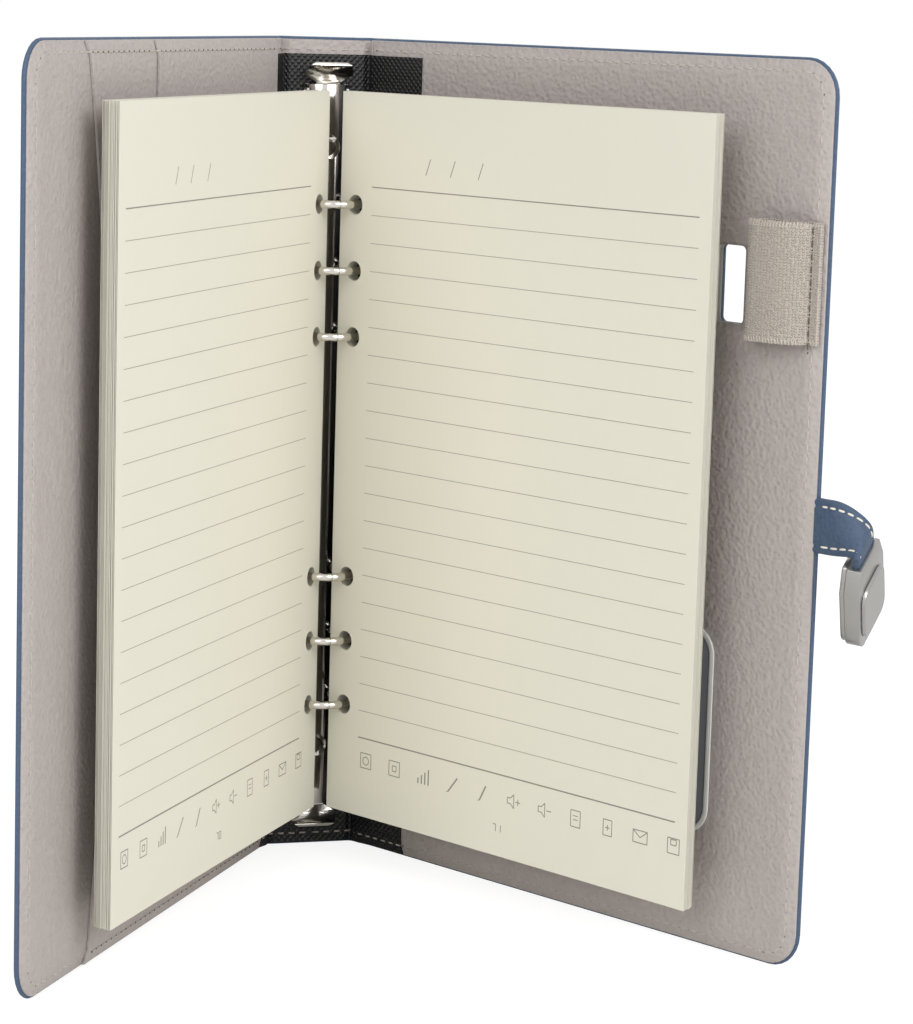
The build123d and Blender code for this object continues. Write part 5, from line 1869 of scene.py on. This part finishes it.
@dataclass(frozen=True)
class PenLoop:
    """Elastic band sewn to the back cover's lining so that it holds a pen."""

    low: float = 166.8
    high: float = 198.2
    width: float = 18.6
    rise: float = 6.8
    band: float = 0.7
    corner: float = 3.0
    seam: float = 2.6

    @property
    def end(self) -> float:
        """Reach of the band's sewn end."""
        return COVER_REACH - LINING_INSET - 0.3

    def line(self) -> list[Place]:
        """Middle line of the band as reach and level, from the lower layer's end to the upper one's.

        Returns:
            Places of the line as reach and level.
        """
        far = self.end - self.seam + 0.3
        near = far - self.width
        base = LINING_IN + self.band / 2 + 0.05
        top = LINING_IN + self.rise - self.band / 2
        places = [(self.end, base), (far + 1.0, base)]
        places += [(far - (far - near - self.corner) * step / 8, base) for step in range(9)]
        for step in range(1, 7):
            turn = math.pi / 2 * step / 6
            places.append((near + self.corner * (1 - math.sin(turn)), base + self.corner * (1 - math.cos(turn))))
        for step in range(1, 7):
            turn = math.pi / 2 * step / 6
            places.append((near + self.corner * (1 - math.cos(turn)), top - self.corner * (1 - math.sin(turn))))
        start_reach, start_level = places[-1]
        over = base + self.band + 0.02
        for step in range(1, 25):
            share = math.sin(math.pi / 2 * step / 24)
            reach = start_reach + (far - 0.6 - start_reach) * share
            places.append((reach, over + (start_level - over) * (1 - share**3.2) ** 0.7))
        places += [(far + 0.4, over), (self.end, over)]
        return places

    def build(self) -> None:
        """Makes the band, its overlocked ends and its seam."""
        line = [BACK.at(reach, 0, level) for reach, level in self.line()]
        lengths = [0.0]
        for here, onward in zip(line, line[1:]):
            lengths.append(lengths[-1] + (onward - here).length)
        outs = []
        for index in range(len(line)):
            before, after = line[max(0, index - 1)], line[min(len(line) - 1, index + 1)]
            outs.append((after - before).cross(Vector((0, 0, 1))).normalized())
        draft = Draft()
        rings, flats = [], []
        for height in [self.low + (self.high - self.low) * step / 30 for step in range(31)]:
            end_share = min(height - self.low, self.high - height) / 1.2
            half = self.band / 2 * (0.75 + 0.25 * ease(end_share))
            up = Vector((0, 0, height))
            rings.append([p + o * half + up for p, o in zip(line, outs)]
                         + [p - o * half + up for p, o in zip(reversed(line), reversed(outs))])
            flats.append([(length, height) for length in lengths] + [(length, height) for length in reversed(lengths)])
        draft.tube(rings, flats)
        band = draft.make("pen_loop_band", ELASTIC, "elastic", sharp=60.0)
        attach(band, "back_cover")
        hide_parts("pen_loop")
        self.overlock(line, outs, lengths)
        self.seam_row()

    def overlock(self, line: list[Vector], outs: list[Vector], lengths: list[float]) -> None:
        """Sews thread over both raw edges of the band.

        Args:
            line: Points along the band.
            outs: Facing at each point.
            lengths: Length of the band up to each point.
        """
        thread = Draft()
        count = int(lengths[-1] / 0.9)
        for height, way in ((self.low, 1), (self.high, -1)):
            for number in range(1, count):
                place = lengths[-1] * number / count
                index = max(n for n, length in enumerate(lengths) if length <= place)
                index = min(index, len(line) - 2)
                share = (place - lengths[index]) / (lengths[index + 1] - lengths[index])
                point = line[index].lerp(line[index + 1], share)
                out = outs[index].lerp(outs[index + 1], share).normalized()
                slant = (line[index + 1] - line[index]).normalized() * 0.35
                for face in (1, -1):
                    start = point + out * (
                        face * (self.band / 2 + 0.05)
                    ) + Vector((0, 0, height + way * 1.5))
                    end = point + slant + out * (face * 0.2) + Vector((0, 0, height - way * 0.12))
                    rings = []
                    side = out.cross(Vector((0, 0, 1))).normalized()
                    for step, size in ((0.0, 0.4), (0.3, 1.0), (0.75, 1.0), (1.0, 0.6)):
                        middle = start.lerp(end, step)
                        rings.append([
                            middle + (side * math.cos(turn) + out * math.sin(turn)) * (0.15 * size)
                            for turn in (math.pi / 2 * quarter for quarter in range(4))
                        ])
                    thread.tube(rings)
        piece = thread.make("pen_loop_overlock", EDGE_YARN, "elastic")
        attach(piece, "back_cover")

    def seam_row(self) -> None:
        """Sews the dark row that holds both layers of the band to the cover."""
        reach = self.end - self.seam + 0.2
        level = LINING_IN + 2 * self.band + 0.12
        heights = [self.low - 2.0 + step * 1.5 for step in range(24)]
        line = [(BACK.at(reach, h, level), BACK.inward) for h in heights if h < self.high + 1.0]
        thread, hole_shade = Draft(), Draft()
        Seam(pitch=3.3, radius=0.24, gap=1.3).sew(thread, hole_shade, line)
        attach(thread.make("pen_loop_seam", DARK_THREAD, "elastic"), "back_cover")
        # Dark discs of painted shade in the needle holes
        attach(hole_shade.make("pen_loop_needle_hole_shade", NEEDLE_HOLE_SHADE, "elastic"), "back_cover")


# Strap and clasp


@dataclass(frozen=True)
class Strap:
    """Leather strap from the back cover's edge to the clasp's neck, bent and twisted on its way."""

    width: float = 14.6
    end_width: float = 12.4
    thick: float = 2.0
    root: float = 4.0
    length: float = 12.5
    twist: float = 65.0
    turn: float = 108.0
    steps: int = 32

    @staticmethod
    def share(place: float, start: float, end: float) -> float:
        """Smooth share of a turn at a place along the strap."""
        step = min(max((place - start) / (end - start), 0), 1)
        return (1 - math.cos(math.pi * step)) / 2

    def stations(self) -> list[tuple[Vector, Vector, Vector, float]]:
        """Place, heading, facing and half width along the strap.

        Returns:
            Place, heading, facing and half width of each station.
        """
        heading, facing = BACK.along, BACK.inward
        level = self.thick / 2 - SKIN_IN
        found = []
        for reach in (-0.9, -0.3, 0.4, 1.2, 2.0, 2.9):
            found.append(
                (BACK.at(COVER_REACH + reach, 120.0, level), heading, facing, self.width / 2)
            )
        root = BACK.at(COVER_REACH + self.root, 120.0, level)
        stop, way, face = self.neck()
        cross = face.cross(way)
        edges = []
        for side, leave, enter in ((1, 5.5, 4.5), (-1, 3.5, 1.2)):
            first = root + facing.cross(heading) * (side * self.width / 2)
            last = stop + cross * (side * self.end_width / 2)
            edges.append((first, first + heading * leave, last - way * enter, last))
        for step in range(self.steps + 1):
            share = step / self.steps
            rest = 1 - share
            weights = (rest**3, 3 * rest**2 * share, 3 * rest * share**2, share**3)
            slopes = (-3 * rest**2, 3 * rest**2 - 6 * rest * share, 6 * rest * share - 3 * share**2, 3 * share**2)
            high, low = (sum((p * w for p, w in zip(edge, weights)), Vector()) for edge in edges)
            ahead = sum(
                (p * s for edge in edges for p, s in zip(edge, slopes)), Vector()
            ).normalized()
            across = (high - low).normalized()
            out = ahead.cross(across).normalized()
            found.append(((high + low) / 2, across.cross(out), out, (high - low).length / 2))
        for reach in (1.0, 2.0, 3.0, 4.4, 6.0, 8.2):
            found.append((stop + way * reach, way, face, self.end_width / 2))
        return found

    def neck(self) -> tuple[Vector, Vector, Vector]:
        """Place, heading and facing where the strap enters the clasp, after its bend and twist.

        Returns:
            Place, heading and facing at the clasp.
        """
        heading, facing = BACK.along, BACK.inward
        place = BACK.at(COVER_REACH + self.root, 120.0, self.thick / 2 - SKIN_IN)
        for step in range(self.steps):
            old, new = step / self.steps, (step + 1) / self.steps
            bend = self.turn * (self.share(new, 0.45, 1) - self.share(old, 0.45, 1))
            roll = self.twist * (self.share(new, 0.15, 0.85) - self.share(old, 0.15, 0.85))
            across = facing.cross(heading)
            heading = Matrix.Rotation(math.radians(bend), 3, across) @ heading
            facing = Matrix.Rotation(math.radians(bend), 3, across) @ facing
            facing = Matrix.Rotation(math.radians(-roll), 3, heading) @ facing
            place = place + heading * (self.length / self.steps)
        return place, heading, facing

    def outline(self, half: float) -> list[Place]:
        """Section of the strap: flat faces with round edges and shallow grooves at the stitches.

        Args:
            half: Half of the strap's width.

        Returns:
            Places round the section.
        """
        places = []
        for way in (1, -1):
            for share in (0.0, 0.35, 0.62, 0.72, 0.8, 0.9):
                groove = 0.16 if share == 0.72 else 0.0
                places.append((way * half * share, self.thick / 2 - groove))
        face = sorted({(round(x, 4), round(y, 4)) for x, y in places})
        edge = [(half * 0.9 + half * 0.1 * math.sin(t), self.thick / 2 * math.cos(t))
                for t in (math.pi * step / 6 for step in range(1, 6))]
        back = [(x, -y) for x, y in reversed(face)]
        return face + edge + back + [(-x, -y) for x, y in edge]

    def half_strap(
        self, name: str, stations: list[tuple[Vector, Vector, Vector, float]]
    ) -> bpy.types.Object:
        """Makes one run of the strap.

        Args:
            name: Name of the piece.
            stations: Stations of the run.

        Returns:
            The new piece.
        """
        draft = Draft()
        rings = []
        for place, heading, facing, half in stations:
            across = facing.cross(heading)
            rings.append([place + across * x + facing * y for x, y in self.outline(half)])
        draft.tube(rings)
        for number in range(len(draft.points)):
            draft.rubbed[number] = 0.15
        return draft.make(name, LEATHER, "blue_leather", sharp=55.0)

    def seams(
        self, name: str, stations: list[tuple[Vector, Vector, Vector, float]]
    ) -> bpy.types.Object:
        """Sews both edges of a run of the strap on both faces.

        Args:
            name: First part of the piece's name.
            stations: Stations of the run.

        Returns:
            The new piece.
        """
        thread, hole_shade = Draft(), Draft()
        for side in (-1, 1):
            for face in (-1, 1):
                line = []
                for place, heading, facing, half in stations:
                    across = facing.cross(heading)
                    spot = place + across * (side * half * 0.72) + facing * (
                        face * (self.thick / 2 - 0.1)
                    )
                    line.append((spot, facing * face))
                Seam(pitch=2.9, radius=0.3, gap=0.7).sew(thread, hole_shade, line)
        return thread.make(name, THREAD, "blue_leather")

    def build(self) -> None:
        """Makes the strap as two halves that meet in its middle."""
        stations = self.stations()
        middle = 6 + self.steps // 2
        first, second = stations[:middle + 1], stations[middle:]
        root = stations[6][0]
        stop = stations[6 + self.steps][0]
        centre = stations[middle][0]
        for name, run, bodies, start, end in (
            ("strap_root", first, ("back_cover", "strap"), root - BACK.along * 2.2, root + BACK.along * 2.2),
            ("strap_tip", second, ("strap", "clasp"), stop.lerp(centre, 0.3), stop - (centre - stop) * 0.3),
        ):
            piece = self.half_strap(name, run)
            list(bodies)
            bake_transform(piece)
            sewn = run[:-5] if name == "strap_tip" else run[3:]
            stitches = self.seams(f"{name}_stitches", sewn)
            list(bodies)
            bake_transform(stitches)
            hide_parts(*(("strap_end",) if name == "strap_tip" else ("strap",)))


# Rigid parts


@dataclass(frozen=True)
class RigidPart:
    """A rigid part of metal or moulding whose CAD form stays, with its edges rounded."""

    node: str
    finish: Finish
    slot: str
    width: float
    steps: int = 2
    angle: float = 32.0

    def build(self) -> None:
        """Makes the rounded copy."""
        rounded(self.node, self.finish, self.slot, self.width, self.steps, self.angle)


RIGID_PARTS = (
    RigidPart("clasp_body", SATIN_NICKEL, "satin_nickel", 0.7, 3),
    RigidPart("clasp_back", SATIN_NICKEL, "satin_nickel", 0.5, 3),
    RigidPart("clasp_face", SATIN_NICKEL, "satin_nickel", 0.3, 3, 12.0),
    RigidPart("bank_case", BANK, "bank_plastic", 0.25),
    # The trim's near-white colour is partly a painted highlight
    RigidPart("bank_trim", TRIM_PAINTED_HIGHLIGHT, "trim_metal", 0.18),
    RigidPart("bank_face", BANK_FACE, "bank_face_plastic", 0.12),
    RigidPart("power_button", BANK_FACE, "bank_face_plastic", 0.2),
)

# Finish of each node that keeps its CAD form
PLAIN_NODES = {
    "lever_pins": STEEL, "ring_blade_left": STEEL, "ring_blade_right": STEEL, "spine_board": BOARD,
    "front_foam": FOAM, "back_foam": FOAM, "keeper": STEEL,
    "pouch_cells": POUCH, "cell_leads": COPPER, "circuit_board": CIRCUIT, "circuit_chips": CHIP,
    "usb_c_socket": STEEL, "micro_usb_socket": STEEL, "button_switch": CHIP, "light_guides": ACRYLIC,
    "clasp_magnet": STEEL, "clasp_pin": STEEL,
}


def dress_nodes() -> None:
    """Gives each node that keeps its CAD form its material."""
    for node, finish in PLAIN_NODES.items():
        piece = frame["nodes"][node]
        piece.data.materials.clear()
        piece.data.materials.append(material_of(finish))


def write_sizes() -> None:
    """Works out the CAD box and the finished model's box as plain lists.
    """
    boxes = [[list(corner) for corner in box] for box in (CAD_BOX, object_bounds())]


def main() -> None:
    """Builds every sub-assembly in order."""
    logging.basicConfig(level=logging.INFO, format="%(name)s: %(message)s")
    Studio().build()
    slot_edges = (137.8, 147.2, 170.0, 190.5)
    OuterLeather(FRONT, (9.0, 161.0, 13.0, 227.0), ("front_skin", "spine_skin")).build()
    OuterLeather(BACK, (24.0, 154.4, 18.7, 100.1), ("back_skin",), slot_edges).build()
    pockets = (
        Pocket("large_pocket", "large_pocket", 8.2, 0.8, 239.2, LINING_IN, 0.7, (136.0, 126.0, 141.0), 0.2),
        Pocket("small_pocket", "small_pocket", 18.0, 110.0, 239.2, LINING_IN + 0.75, 0.6, (98.0, 98.0, 98.0), 0.2),
    )
    InnerLayers(
        FRONT, 7.5, ("front_lining",), ("front_vinyl", "spine_vinyl"), ("spine_hem",), over=pockets
    ).build()
    bank_window = (37.5, 140.9, 32.2, 86.6, 6.5)
    cuts = (bank_window, (*slot_edges, 1.5))
    Board(FRONT, "front_board").build()
    Board(BACK, "back_board", cuts).build()
    InnerLayers(BACK, 24.0, ("back_lining",), ("back_vinyl",), (), cuts).build()
    for pocket in pockets:
        pocket.build()
    RingMechanism().build()
    for leaves, number in ((LEFT_LEAVES, "70"), (RIGHT_LEAVES, "71")):
        leaves.build()
        PagePrint(leaves, number).build()
    PenLoop().build()
    Strap().build()
    for part in RIGID_PARTS:
        part.build()
    dress_nodes()
    write_sizes()


if __name__ == "__main__":
    main()
